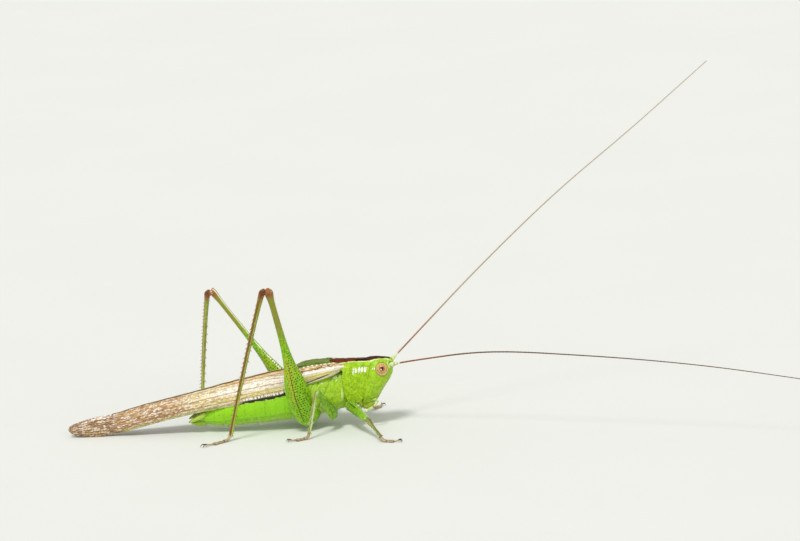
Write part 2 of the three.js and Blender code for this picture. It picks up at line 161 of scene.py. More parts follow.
# The two sizes of a table's rows at these places: rows are [place, first, second], or [place, both].
def sizesAlong(table, places):
    table = np.array(table, float)
    return [curveThrough(table[:, [0, i]])(places) for i in (1, -1)]


def nodeCorners(node):  # a solid's corners on the animal's own axes
    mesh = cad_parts[node].data
    corners = np.empty(len(mesh.vertices) * 3)
    mesh.vertices.foreach_get("co", corners)
    return corners.reshape(-1, 3) * 1000 - anchor


# Middles of a solid's sections square to its longest direction, at shares of it from the end near `start`.
def sectionMiddles(node, shares, start):
    corners = nodeCorners(node)
    edges = np.empty(len(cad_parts[node].data.edges) * 2, int)
    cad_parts[node].data.edges.foreach_get("vertices", edges)
    middle = corners.mean(0)
    axes = np.linalg.svd(corners - middle, full_matrices=False)[2]
    if (middle - start) @ axes[0] < 0:
        axes[0] *= -1
    places = (corners - middle) @ axes.T
    first, last = places[edges.reshape(-1, 2)].transpose(1, 0, 2)
    found = []
    for level in mixed(places[:, 0].min(), places[:, 0].max(), np.asarray(shares)):
        crossing = (first[:, 0] - level) * (last[:, 0] - level) < 0
        a, b = first[crossing], last[crossing]
        cut = a + (b - a) * ((level - a[:, 0]) / (b[:, 0] - a[:, 0]))[:, None]
        found.append((cut.min(0) + cut.max(0)) / 2)
    return middle + np.array(found) @ axes


# The two ends of a straight solid's middle line, the one nearest `start` first.
def limbEnds(node, start):
    inner, outer = sectionMiddles(node, (0.4, 0.8), start)
    along = unit(outer - inner)
    reach = (nodeCorners(node) - inner) @ along
    return inner + along * reach.min(), inner + along * reach.max()


# Directions square to a grid of points, pointing away from the middle of its rows.
def gridNormals(grid, wrap=True):
    around = np.gradient(grid, axis=1)
    if wrap:
        around = (np.roll(grid, -1, 1) - np.roll(grid, 1, 1)) / 2
    normals = unit(np.cross(around, np.gradient(grid, axis=0)))
    away = (normals * (grid - grid.mean(1, keepdims=True))).sum()
    return normals * np.sign(away)


# Distances in mm over a grid, along its rows and round its columns, kept as the surface's own map.
def gridFlow(grid, wrap):
    closed = np.concatenate([grid, grid[:, :1]], 1) if wrap else grid
    along = np.linalg.norm(np.diff(closed, axis=0), axis=2).mean(1)
    around = np.linalg.norm(np.diff(closed, axis=1), axis=2)
    u = np.r_[0, np.cumsum(along)][:, None] + np.zeros(closed.shape[1])
    v = np.concatenate([np.zeros((len(grid), 1)), np.cumsum(around, 1)], 1)
    return np.stack([u, v], -1)


# A grid of points as a closed surface: its last column meets the first, and a point closes each end.
def gridShape(grid, marks, paint=0):
    rows, columns = grid.shape[:2]
    flow = gridFlow(grid, True)
    index = np.arange(rows * columns).reshape(rows, columns)
    after = np.roll(index, -1, 1)
    left, right = flow[:, :-1], flow[:, 1:]
    quads = np.stack([index[:-1], after[:-1], after[1:], index[1:]], -1).reshape(-1, 4)
    quadFlow = np.stack([left[:-1], right[:-1], right[1:], left[1:]], 2).reshape(-1, 4, 2)
    poles = np.full(columns, rows * columns)
    triangles = np.concatenate([np.stack([after[0], index[0], poles], 1),
                                np.stack([index[-1], after[-1], poles + 1], 1)])
    triangleFlow = np.concatenate([np.stack([right[0], left[0], (left[0] + right[0]) / 2], 1),
                                   np.stack([left[-1], right[-1], (left[-1] + right[-1]) / 2], 1)])
    points = np.concatenate([grid.reshape(-1, 3), grid[[0, -1]].mean(1)])
    values = {}
    for name, value in marks.items():
        value = np.broadcast_to(value, (rows, columns))
        values[name] = np.r_[value.ravel(), value[0].mean(), value[-1].mean()]
    return dict(points=points, quads=quads, quadFlow=quadFlow, triangles=triangles,
                triangleFlow=triangleFlow, marks=values, paint=paint)


# A thin plate. The grid is its outer face, and its inner face, `thickness` below, meets it at the border.
def plateShape(grid, thickness, marks):
    rows, columns = grid.shape[:2]
    flow = gridFlow(grid, False)
    border = np.ones((rows, columns), bool)
    border[1:-1, 1:-1] = False
    outer = np.arange(rows * columns).reshape(rows, columns)
    inner = np.where(border, outer, rows * columns - 1 + np.cumsum(~border.ravel()).reshape(rows, columns))
    below = grid - gridNormals(grid, False) * thickness[..., None]
    fourOf = lambda grid: np.stack([grid[:-1, :-1], grid[:-1, 1:], grid[1:, 1:], grid[1:, :-1]], 2)
    faces = [fourOf(index).reshape(-1, 4) for index in (outer, inner)]
    corner = fourOf(flow).reshape(-1, 4, 2)
    values = {}
    for name, value in marks.items():
        value = np.broadcast_to(value, (rows, columns))
        values[name] = np.r_[value.ravel(), value[~border]]
    return dict(points=np.concatenate([grid.reshape(-1, 3), below[~border]]),
                quads=np.concatenate([faces[0], faces[1][:, ::-1]]),
                quadFlow=np.concatenate([corner, corner[:, ::-1]]),
                triangles=np.empty((0, 3), int), triangleFlow=np.empty((0, 3, 2)), marks=values, paint=0)


# Oval sections along a path: centre + tall cos(turn) normal + wide sin(turn) side, turning from `up`.
def limbGrid(path, tall, wide, up, columns=28):
    tangent = unit(np.gradient(path, axis=0))
    normal = unit(up - (tangent @ up)[:, None] * tangent)
    side = np.cross(tangent, normal)
    turn = fullTurn(columns)
    tall, wide = (np.asarray(size)[:, None, None] if np.ndim(size) == 1 else np.asarray(size)[..., None]
                  for size in (tall, wide))
    grid = path[:, None] + tall * np.cos(turn)[:, None] * normal[:, None]
    return grid + wide * np.sin(turn)[:, None] * side[:, None]


# A tapering rod with round ends through a few points. The radii are [share, half height, half width] rows,
# and each mark is a function of the share along the rod and the angle round it.
def rodShape(points, radii, up, columns=20, rows=30, cap=0.06, blunt=0.0, marks=None, paint=0):
    share = endRows(rows, cap)
    fine = smoothPath(points, 200)
    path = np.stack([np.interp(share, np.linspace(0, 1, 200), fine[:, i]) for i in range(3)], 1)
    tall, wide = (size * roundEnds(share, cap, blunt) for size in sizesAlong(radii, share))
    grid = limbGrid(path, tall, wide, np.asarray(up, float), columns)
    named = {name: value(share[:, None], fullTurn(columns)[None]) for name, value in (marks or {}).items()}
    return gridShape(grid, named, paint)


# Many small cones as one shape. Each is three rings of `ringSides` points and a tip, along the curve
# root + length (s direction + s^2 lean).
def coneShape(roots, directions, lengths, radius, lean=(0, 0, 0), ringSides=5, paint=0):
    helper = np.where(np.abs(directions[:, 2:]) < 0.8, [[0, 0, 1.0]], [[1.0, 0, 0]])
    across = unit(np.cross(directions, helper))
    other = np.cross(directions, across)
    turn = fullTurn(ringSides)
    ring = across[:, None] * np.cos(turn)[:, None] + other[:, None] * np.sin(turn)[:, None]
    reach = np.asarray(lengths)[:, None]
    spine = lambda s: roots + directions * reach * s + np.asarray(lean) * reach * s * s
    levels = [(-0.12, 1.0), (0.3, 0.62), (0.7, 0.3)]
    rings = [spine(s)[:, None] + ring * np.asarray(radius).reshape(-1, 1, 1) * size for s, size in levels]
    points = np.concatenate([*rings, spine(1.0)[:, None], spine(-0.12)[:, None]], 1)
    first = np.arange(ringSides)
    second = np.roll(first, -1)
    band = np.stack([first, second, second + ringSides, first + ringSides], 1)
    quads = np.concatenate([band, band + ringSides])
    tip, foot = np.full(ringSides, 3 * ringSides), np.full(ringSides, 3 * ringSides + 1)
    triangles = np.concatenate([np.stack([first + 2 * ringSides, second + 2 * ringSides, tip], 1),
                                np.stack([second, first, foot], 1)])
    shift = (np.arange(len(roots)) * points.shape[1])[:, None, None]
    return dict(points=points.reshape(-1, 3), quads=(quads + shift).reshape(-1, 4),
                quadFlow=np.zeros((len(roots) * len(quads), 4, 2)),
                triangles=(triangles + shift).reshape(-1, 3),
                triangleFlow=np.zeros((len(roots) * len(triangles), 3, 2)), marks={}, paint=paint)


# Signed volume of a closed shape: below zero where its faces point inwards.
def volumeOf(points, quads, triangles):
    split = np.concatenate([triangles, quads[:, [0, 1, 2]], quads[:, [0, 2, 3]]])
    a, b, c = points[split].transpose(1, 0, 2)
    return (a * np.cross(b, c)).sum() / 6


# Joins shapes into one object in the frame's metres, with their marks as attributes and their own map.
def makePiece(name, shapes, materials, nodes=(), mapName="surface"):
    points, loops, sizes, flow, paints = [], [], [], [], []
    marks = {mark: [] for mark in sorted({mark for shape in shapes for mark in shape["marks"]})}
    count = 0
    for shape in shapes:
        turned = volumeOf(shape["points"], shape["quads"], shape["triangles"]) < 0
        order = slice(None, None, -1 if turned else 1)
        for faces, corners in (("quads", "quadFlow"), ("triangles", "triangleFlow")):
            loops.append((shape[faces][:, order] + count).ravel())
            flow.append(shape[corners][:, order].reshape(-1, 2))
            sizes.append(np.full(len(shape[faces]), shape[faces].shape[1]))
        paints.append(np.full(len(shape["quads"]) + len(shape["triangles"]), shape["paint"]))
        points.append(shape["points"])
        for mark, values in marks.items():
            values.append(shape["marks"].get(mark, np.zeros(len(shape["points"]))))
        count += len(shape["points"])
    points, loops, sizes = np.concatenate(points), np.concatenate(loops), np.concatenate(sizes)
    mesh = bpy.data.meshes.new(name)
    mesh.vertices.add(count)
    mesh.vertices.foreach_set("co", ((points + anchor) / 1000).astype(np.float32).ravel())
    mesh.loops.add(len(loops))
    mesh.loops.foreach_set("vertex_index", loops.astype(np.int32))
    mesh.polygons.add(len(sizes))
    mesh.polygons.foreach_set("loop_start", np.r_[0, np.cumsum(sizes)[:-1]].astype(np.int32))
    mesh.polygons.foreach_set("material_index", np.concatenate(paints).astype(np.int32))
    mesh.update(calc_edges=True)
    mesh.shade_smooth()
    surfaceMap = mesh.uv_layers.new(name=mapName)
    surfaceMap.uv.foreach_set("vector", np.concatenate(flow).astype(np.float32).ravel())
    for mark, values in marks.items():
        layer = mesh.attributes.new(mark, "FLOAT", "POINT")
        layer.data.foreach_set("value", np.concatenate(values).astype(np.float32))
    for material in materials:
        mesh.materials.append(material)
    piece = bpy.data.objects.new(name, mesh)
    bpy.context.scene.collection.objects.link(piece)
    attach(piece, "root")
    if nodes:
        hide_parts(*nodes)
    print("made", name, int((sizes - 2).sum()), "triangles")
    return piece


# A piece on each side, from the shapes that `build` makes for that side's sign.
def makePair(label, node, build, finish):
    for name, side in sides.items():
        makePiece(label + name.title(), build(side), [finish], (f"{node}_{name}",))


def tone(text):  # a written colour, such as "98c12c", as the shader's own numbers
    parts = np.array([int(text[i:i + 2], 16) for i in (0, 2, 4)]) / 255
    linear = np.where(parts < 0.04045, parts / 12.92, ((parts + 0.055) / 1.055) ** 2.4)
    return (*linear.tolist(), 1.0)


# A node with its settings: a socket given as a value is linked, and a plain value is set on the socket.
def addNode(tree, kind, sockets=None, **settings):
    node = tree.nodes.new("ShaderNode" + kind)
    for key, value in settings.items():
        setattr(node, key, value)
    for key, value in (sockets or {}).items():
        if isinstance(value, bpy.types.NodeSocket):
            tree.links.new(value, node.inputs[key])
        else:
            node.inputs[key].default_value = value
    return node


def mathNode(tree, operation, first, second=0.0):
    return addNode(tree, "Math", {0: first, 1: second}, operation=operation).outputs[0]


def product(tree, first, second):
    return mathNode(tree, "MULTIPLY", first, second)


def vectorNode(tree, operation, sockets):
    return addNode(tree, "VectorMath", sockets, operation=operation).outputs[0]


def ramped(tree, value, low, high, start=0.0, end=1.0):  # smooth change of a value between two levels
    sockets = {"Value": value, "From Min": low, "From Max": high, "To Min": start, "To Max": end}
    return addNode(tree, "MapRange", sockets, interpolation_type="SMOOTHSTEP").outputs["Result"]


def blended(tree, share, first, second):
    return addNode(tree, "Mix", {"Factor": share, 6: first, 7: second}, data_type="RGBA").outputs[2]


def placed(tree, group, sockets):
    return addNode(tree, "Group", sockets, node_tree=group).outputs


def markOf(tree, name):  # one of the surface's marks
    return addNode(tree, "Attribute", attribute_name=name).outputs["Fac"]


def flowOf(tree):  # the surface's own map, in mm
    return addNode(tree, "UVMap", uv_map="surface").outputs["UV"]


# A node group with a Vector input and named values, which are colours where they are tuples. `fill` wires
# its inside, from the input sockets to a dictionary of outputs.
def nodeGroup(name, values, outputs, fill):
    tree = bpy.data.node_groups.new(name, "ShaderNodeTree")
    tree.interface.new_socket(name="Vector", in_out="INPUT", socket_type="NodeSocketVector")
    for label, value in values.items():
        kind = "NodeSocketColor" if isinstance(value, tuple) else "NodeSocketFloat"
        tree.interface.new_socket(name=label, in_out="INPUT", socket_type=kind).default_value = value
    for label in outputs:
        kind = "NodeSocketColor" if label == "Color" else "NodeSocketFloat"
        tree.interface.new_socket(name=label, in_out="OUTPUT", socket_type=kind)
    start, end = tree.nodes.new("NodeGroupInput"), tree.nodes.new("NodeGroupOutput")
    for label, socket in fill(tree, start.outputs).items():
        tree.links.new(socket, end.inputs[label])
    return tree


def noiseIn(tree, given, scale, detail):
    return addNode(tree, "TexNoise", {"Vector": given["Vector"], "Scale": scale, "Detail": detail}).outputs


def ownNumber(tree, cells):  # a random number of each cell's own
    return addNode(tree, "SeparateColor", {"Color": cells["Color"]}).outputs[0]


# The surface's map counted in cells of `Along` by `Across` mm.
def countedCells(tree, given):
    spacing = addNode(tree, "CombineXYZ", {0: given["Along"], 1: given["Across"], 2: 1.0}).outputs[0]
    return vectorNode(tree, "DIVIDE", {0: given["Vector"], 1: spacing})


def flatCells(tree, place, scatter, feature="F1"):
    sockets = {"Vector": place, "Scale": 1.0, "Randomness": scatter}
    return addNode(tree, "TexVoronoi", sockets, voronoi_dimensions="2D", feature=feature).outputs


# A round dot in each cell whose own number is under `share`; `core` is the full part of its radius.
def dotIn(tree, cells, size, core, share):
    close = ramped(tree, cells["Distance"], size, product(tree, size, core))
    return product(tree, close, mathNode(tree, "LESS_THAN", ownNumber(tree, cells), share))


def fillMottle(tree, given):  # two tones in soft clouds, with finer clouds inside them
    value = ramped(tree, noiseIn(tree, given, given["Scale"], 3.0)["Fac"], 0.36, 0.64)
    return {"Color": blended(tree, value, given["Light"], given["Dark"])}


def fillPits(tree, given):  # round pits at random places, over a fine leathery grain
    cells = addNode(tree, "TexVoronoi", {"Vector": given["Vector"], "Scale": given["Scale"]}).outputs
    pit = ramped(tree, cells["Distance"], 0.14, 0.42)
    grain = noiseIn(tree, given, product(tree, given["Scale"], 2.3), 4.0)["Fac"]
    height = mathNode(tree, "ADD", pit, product(tree, grain, given["Grain"]))
    return {"Height": height, "Pit": mathNode(tree, "SUBTRACT", 1.0, pit)}


def fillSpecks(tree, given):  # a few small round specks
    cells = addNode(tree, "TexVoronoi", {"Vector": given["Vector"], "Scale": given["Scale"]}).outputs
    return {"Mask": dotIn(tree, cells, given["Size"], 0.55, given["Share"])}


def fillBroken(tree, given):  # a mark whose edge is broken up by noise where it is neither 0 nor 1
    cloud = mathNode(tree, "SUBTRACT", noiseIn(tree, given, given["Scale"], 4.0)["Fac"], 0.5)
    ragged = mathNode(tree, "ADD", given["Mask"], product(tree, cloud, given["Raggedness"]))
    return {"Mask": ramped(tree, ragged, 0.3, 0.7)}


def fillNet(tree, given):  # a wing's fine crooked cells: their walls, and each cell's own number
    cloud = noiseIn(tree, given, 2.6, 2.0)["Color"]
    level = vectorNode(tree, "SUBTRACT", {0: cloud, 1: (0.5, 0.5, 0.5)})
    shift = vectorNode(tree, "SCALE", {0: level, "Scale": 0.35})
    place = vectorNode(tree, "ADD", {0: countedCells(tree, given), 1: shift})
    edges = flatCells(tree, place, 0.9, "DISTANCE_TO_EDGE")
    wall = ramped(tree, edges["Distance"], 0.02, given["Width"], 1.0, 0.0)
    return {"Wall": wall, "Cell": ownNumber(tree, flatCells(tree, place, 0.9))}


def fillDots(tree, given):  # small dots in cross rows
    return {"Mask": dotIn(tree, flatCells(tree, countedCells(tree, given), 0.36), given["Size"], 0.5, 0.84)}


mottleValues = dict(Scale=3000.0, Light=tone("ffffff"), Dark=tone("808080"))
mottle = nodeGroup("mottle", mottleValues, ["Color"], fillMottle)
pits = nodeGroup("pits", dict(Scale=9000.0, Grain=0.3), ["Height", "Pit"], fillPits)
specks = nodeGroup("specks", dict(Scale=9000.0, Size=0.25, Share=0.4), ["Mask"], fillSpecks)
brokenMark = nodeGroup("brokenMark", dict(Mask=0.0, Scale=12000.0, Raggedness=0.6), ["Mask"], fillBroken)
dotRows = nodeGroup("dotRows", dict(Along=0.2, Across=0.13, Size=0.3), ["Mask"], fillDots)
wingNet = nodeGroup("wingNet", dict(Along=0.2, Across=0.16, Width=0.2), ["Wall", "Cell"], fillNet)
plainLook = dict(mottle=2500.0, pits=(9000.0, 0.4, 0.3), marks=(), over=(), ragScale=12000.0,
                 roughness=(0.3, 0.5), specular=0.5, coat=0.0, coatRoughness=0.12, glow=0.0,
                 glowRadius=(1.0, 1.0, 0.3), glowScale=0.0003, bump=0.00002, dull=0.85, netRelief=0.3)


# A finish from its dictionary: mottled tones, marks laid over them in turn, net, specks, dots, pits, gloss.
def makeFinish(name, look):
    look = {**plainLook, **look}
    material = bpy.data.materials.new(name)
    material.use_nodes = True
    tree = material.node_tree
    tree.nodes.clear()
    place = addNode(tree, "TexCoord").outputs["Object"]

    def withMarks(color, marks):
        for mark, text, ragged in marks:
            mask = markOf(tree, mark)
            if ragged:
                mask = placed(tree, brokenMark, {"Mask": mask, "Vector": place, "Raggedness": ragged,
                                                 "Scale": look["ragScale"]})["Mask"]
            color = blended(tree, mask, color, tone(text))
        return color

    light, dark = (tone(text) for text in look["tones"])
    tones = {"Vector": place, "Scale": look["mottle"], "Light": light, "Dark": dark}
    color = placed(tree, mottle, tones)["Color"]
    scale, grain, depth = look["pits"]
    relief = placed(tree, pits, {"Vector": place, "Scale": scale, "Grain": grain})
    height = relief["Height"]
    # The pits are darkened by their own mask: painted shade in the pits.
    if "pitShade" in look:
        text, share = look["pitShade"]
        color = blended(tree, product(tree, relief["Pit"], share), color, tone(text))
    color = withMarks(color, look["marks"])
    if "net" in look:
        along, across, width, wallTone, wallShare, paleAndGlintTone, darkTone = look["net"]
        net = placed(tree, wingNet, {"Vector": flowOf(tree), "Along": along, "Across": across,
                                     "Width": width})
        held = markOf(tree, "netted")
        # Random cells are lightened and darkened: the wing's own cell-to-cell variation, with the pale
        # cells partly painted glints.
        for text, low, high, share in ((paleAndGlintTone, 0.52, 0.8, 0.85), (darkTone, 0.42, 0.1, 0.75)):
            chosen = product(tree, ramped(tree, net["Cell"], low, high, 0.0, share), held)
            color = blended(tree, chosen, color, tone(text))
        wall = product(tree, product(tree, net["Wall"], held), wallShare)
        color = withMarks(blended(tree, wall, color, tone(wallTone)), look["over"])
        height = mathNode(tree, "ADD", product(tree, height, look["netRelief"]), net["Wall"])
    if "specks" in look:
        scale, size, share, text, clear = look["specks"]
        mask = placed(tree, specks, {"Vector": place, "Scale": scale, "Size": size, "Share": share})["Mask"]
        if clear:  # the mark that stays clear of specks
            mask = product(tree, mask, mathNode(tree, "SUBTRACT", 1.0, markOf(tree, clear)))
        color = blended(tree, mask, color, tone(text))
    if "dots" in look:
        along, across, size, text = look["dots"]
        rows = placed(tree, dotRows, {"Vector": flowOf(tree), "Along": along, "Across": across,
                                      "Size": size})
        color = blended(tree, product(tree, rows["Mask"], markOf(tree, "dotted")), color, tone(text))
    bump = addNode(tree, "Bump", {"Height": height, "Strength": depth, "Distance": look["bump"]})
    rough = ramped(tree, relief["Pit"], 0.0, 1.0, *look["roughness"])
    if "matte" in look:  # the mark whose places are dull
        rough = mathNode(tree, "MAXIMUM", rough, product(tree, look["dull"], markOf(tree, look["matte"])))
    shader = addNode(tree, "BsdfPrincipled", {
        "Base Color": color, "Roughness": rough, "Normal": bump.outputs[0],
        "Specular IOR Level": look["specular"], "Coat Weight": look["coat"],
        "Coat Roughness": look["coatRoughness"], "Subsurface Weight": look["glow"],
        "Subsurface Radius": look["glowRadius"], "Subsurface Scale": look["glowScale"]})
    addNode(tree, "OutputMaterial", {"Surface": shader.outputs[0]})
    return material


# Camera, light and floor: distances in mm, `clip` and the floor's `reach` in metres, angles in degrees.
studio = dict(distance=308.6, elevation=13.0, roll=2.56, lens=200.0, sensor=36.0,
              aim=(7.271, 0.0, 10.913), clip=(0.01, 20.0), reach=3.0,
              lamps=[("sun", 1.9, 14.0, (28, -14, 0)), ("fill", 0.57, 60.0, (62, 30, 0))],
              sky="f4f5f1", skyLight=0.62, skySeen=0.9)
floorLook = dict(tones=("e3e4df", "e2e3de"), mottle=60.0, pits=(4000.0, 0.6, 0.1), roughness=(0.8, 0.9),
                 specular=0.2)


def addToScene(name, data):
    placedObject = bpy.data.objects.new(name, data)
    bpy.context.scene.collection.objects.link(placedObject)
    return placedObject


def makeCamera():
    tilt, roll = math.radians(studio["elevation"]), math.radians(studio["roll"])
    forward = np.array([0, math.cos(tilt), -math.sin(tilt)])
    level = np.array([1.0, 0, 0])
    upright = np.cross(level, forward)
    right = level * math.cos(roll) - upright * math.sin(roll)
    top = level * math.sin(roll) + upright * math.cos(roll)
    data = bpy.data.cameras.new("camera")
    data.lens, data.sensor_width = studio["lens"], studio["sensor"]
    data.clip_start, data.clip_end = studio["clip"]
    turn = np.eye(4)
    turn[:3, :3] = np.stack([right, top, -forward], 1)
    turn[:3, 3] = (np.array(studio["aim"]) - forward * studio["distance"] + anchor) / 1000
    camera = addToScene("camera", data)
    camera.matrix_world = Matrix(turn)
    bpy.context.scene.camera = camera


def makeLights():
    for name, energy, spread, turn in studio["lamps"]:
        data = bpy.data.lights.new(name, "SUN")
        data.energy, data.angle = energy, math.radians(spread)
        addToScene(name, data).rotation_euler = [math.radians(angle) for angle in turn]
    world = bpy.data.worlds.new("sky")
    bpy.context.scene.world = world
    world.use_nodes = True
    tree = world.node_tree
    tree.nodes.clear()
    path = addNode(tree, "LightPath").outputs
    seen = mathNode(tree, "MAXIMUM", path["Is Camera Ray"], path["Is Transmission Ray"])
    strength = ramped(tree, seen, 0.0, 1.0, studio["skyLight"], studio["skySeen"])
    sky = addNode(tree, "Background", {"Color": tone(studio["sky"]), "Strength": strength})
    addNode(tree, "OutputWorld", {"Surface": sky.outputs[0]})


def makeFloor():
    reach = studio["reach"]
    mesh = bpy.data.meshes.new("floor")
    mesh.from_pydata([(-reach, -reach, 0), (reach, -reach, 0), (reach, reach, 0), (-reach, reach, 0)], [],
                     [(0, 1, 2, 3)])
    mesh.materials.append(makeFinish("floorPaper", floorLook))
    mesh.uv_layers.new(name="surface")
    floor = addToScene("floor", mesh)


bpy.context.scene.view_settings.view_transform = "Standard"
makeCamera()
makeLights()
makeFloor()
print("camera, light and floor")


# Body and head share one skin. The tables of the body run along x, and those of the head up z.
body = dict(
    rear=-7.42, neck=4.45, rows=330, columns=120, segment=0.72, firstPlate=-0.35,
    top=[[-7.42, 1.3], [-6.2, 2.2], [-4.4, 2.85], [-2, 3.3], [0.3, 3.8], [2.75, 4.13], [4.45, 4.15]],
    low=[[-7.42, 0.8], [-6.2, 0.46], [-4.4, 0.44], [-2, 0.59], [0.3, 0.78], [2.0, 1.06], [2.75, 1.24],
         [3.5, 1.42], [4.1, 1.46], [4.45, 1.65]],
    half=[[-7.42, 0.3], [-6.2, 0.86], [-4.4, 1.16], [-2, 1.28], [0.3, 1.36], [2.4, 1.19], [3.0, 1.12],
          [3.5, 0.84], [4.45, 0.5]],
    sutures=[[-0.25, 0.1, 0.04], [0.4, 0.42, 0.07], [0.95, 0.2, 0.05], [1.45, 0.46, 0.08],
             [2.2, 0.12, 0.05]],
    ridge=(2.86, 1.75, 3.4),
)


# Oval rings from tail to neck: y = half sin(turn), z = middle + tall cos(turn). They are raised into
# overlapping belly plates, which rise as plate^3, and the slanting plates of the thorax.
def trunkShape():
    share = endRows(body["rows"], 0.012)
    x = mixed(body["rear"], body["neck"], share)[:, None]
    top, low, half = (curveThrough(body[key])(x) for key in ("top", "low", "half"))
    turn = fullTurn(body["columns"])[None]
    close = roundEnds(share, 0.012, 0.3)[:, None]
    z = (top + low) / 2 + (top - low) / 2 * close * np.cos(turn)
    y = half * close * np.sin(turn)
    grid = np.stack([x + 0 * turn, y, z], -1)
    down = np.abs(turn - np.pi)  # 0 under the belly, pi along the back
    count = (body["firstPlate"] - x) / body["segment"]
    plate = count - np.floor(count)
    belly = rise(-x, 0.35, 0.6)
    edge = plate**3 - hump(plate, 0.0, 0.09)
    flank = rise(down, 0.98, 1.06)
    under = fall(down, 0.5, 0.6)
    fold = hump(down, 0.8, 0.15)
    wrinkle = np.cos(plate * 6 * np.pi) * 0.012
    relief = 0.04 * edge * (flank + under) - fold * (0.08 - wrinkle) + 0.03 * hump(down, 1.08, 0.05)
    relief = belly * relief
    chest = rise(x, -0.6, -0.3) * fall(x, 3.0, 3.2)
    seams = sum(depth * hump(x - slant * (z - 2.2), at, 0.045) for at, slant, depth in body["sutures"])
    swell = softNoise(x * 1.6 - z * 0.5 + 4, z * 1.1, 14)
    ridgeAt, ridgeLow, ridgeTop = body["ridge"]
    climb = np.clip((z - ridgeLow) / (ridgeTop - ridgeLow), 0, 1)
    beside = x - ridgeAt
    wedge = rise(mixed(0.15, 0.03, climb) - np.abs(beside), -0.03, 0.03) * hump(z, 2.5, 0.75)
    groove = hump(beside, mixed(-0.65, -0.14, climb), 0.04)
    groove = groove + 0.7 * hump(beside, mixed(-0.22, -0.07, climb), 0.03)
    groove = groove * rise(z, 1.6, 1.9) * fall(z, 3.1, 3.4)
    relief += chest * rise(down, 0.5, 0.9) * (0.05 * swell - seams + 0.05 * wedge - 0.03 * groove)
    relief += chest * 0.02 * softNoise(x * 9, z * 7, 15)
    seams = seams / 0.08
    relief -= chest * 0.1 * hump(y, 0, 0.09) * (down < 0.7)
    relief += 0.012 * softNoise(x * 5, z * 5 + y, 3) * (belly * 0.4 + chest)
    grid += gridNormals(grid) * relief[..., None]
    marks = dict(
        vivid=belly * np.maximum(flank, 0.55),
        seam=np.clip(belly * hump(plate, 0.03, 0.06) * (0.25 * flank + 0.5 * under) + chest * seams * 0.6,
                     0, 1),
        pale=np.clip(0.62 * chest * wedge + belly * (0.28 * fold + 0.3 * hump(down, 1.1, 0.05)), 0, 1),
        saddle=belly * rise(np.cos(turn), 0.8, 0.9), rust=0.55 * chest * groove,
        # White flecks on the thorax below the wing root: painted highlights.
        frost=0.62 * chest * hump(z, 3.24 + 0.38 * (x - 1.24), 0.13)
        * rise(softNoise(x * 8, z * 9, 23), 0.05, 0.3) * rise(x, 0.9, 1.2))
    return gridShape(grid, marks), grid


head = dict(
    low=1.6, crown=4.88, rows=150, columns=168,
    front=[[1.12, 4.42], [1.3, 4.62], [1.5, 4.9], [1.7, 5.16], [1.95, 5.4], [2.55, 5.76], [3.2, 6.2],
           [3.6, 6.4], [3.9, 6.47], [4.4, 6.52], [4.88, 6.2]],
    rear=[[1.12, 4.0], [1.7, 4.0], [2.4, 3.95], [4.0, 4.2], [4.88, 4.4]],
    half=[[1.12, 0.4], [1.7, 0.74], [2.5, 0.98], [3.4, 1.02], [4.1, 0.88], [4.6, 0.64], [4.88, 0.38]],
    eye=(5.69, 0.82, 4.1), eyeLong=0.42, eyeTall=0.45, eyeDeep=0.37,
    socket=(6.36, 0.38, 4.36), brow=(6.5, 0.0, 4.72), ocellus=(6.52, 0.0, 4.16),
)


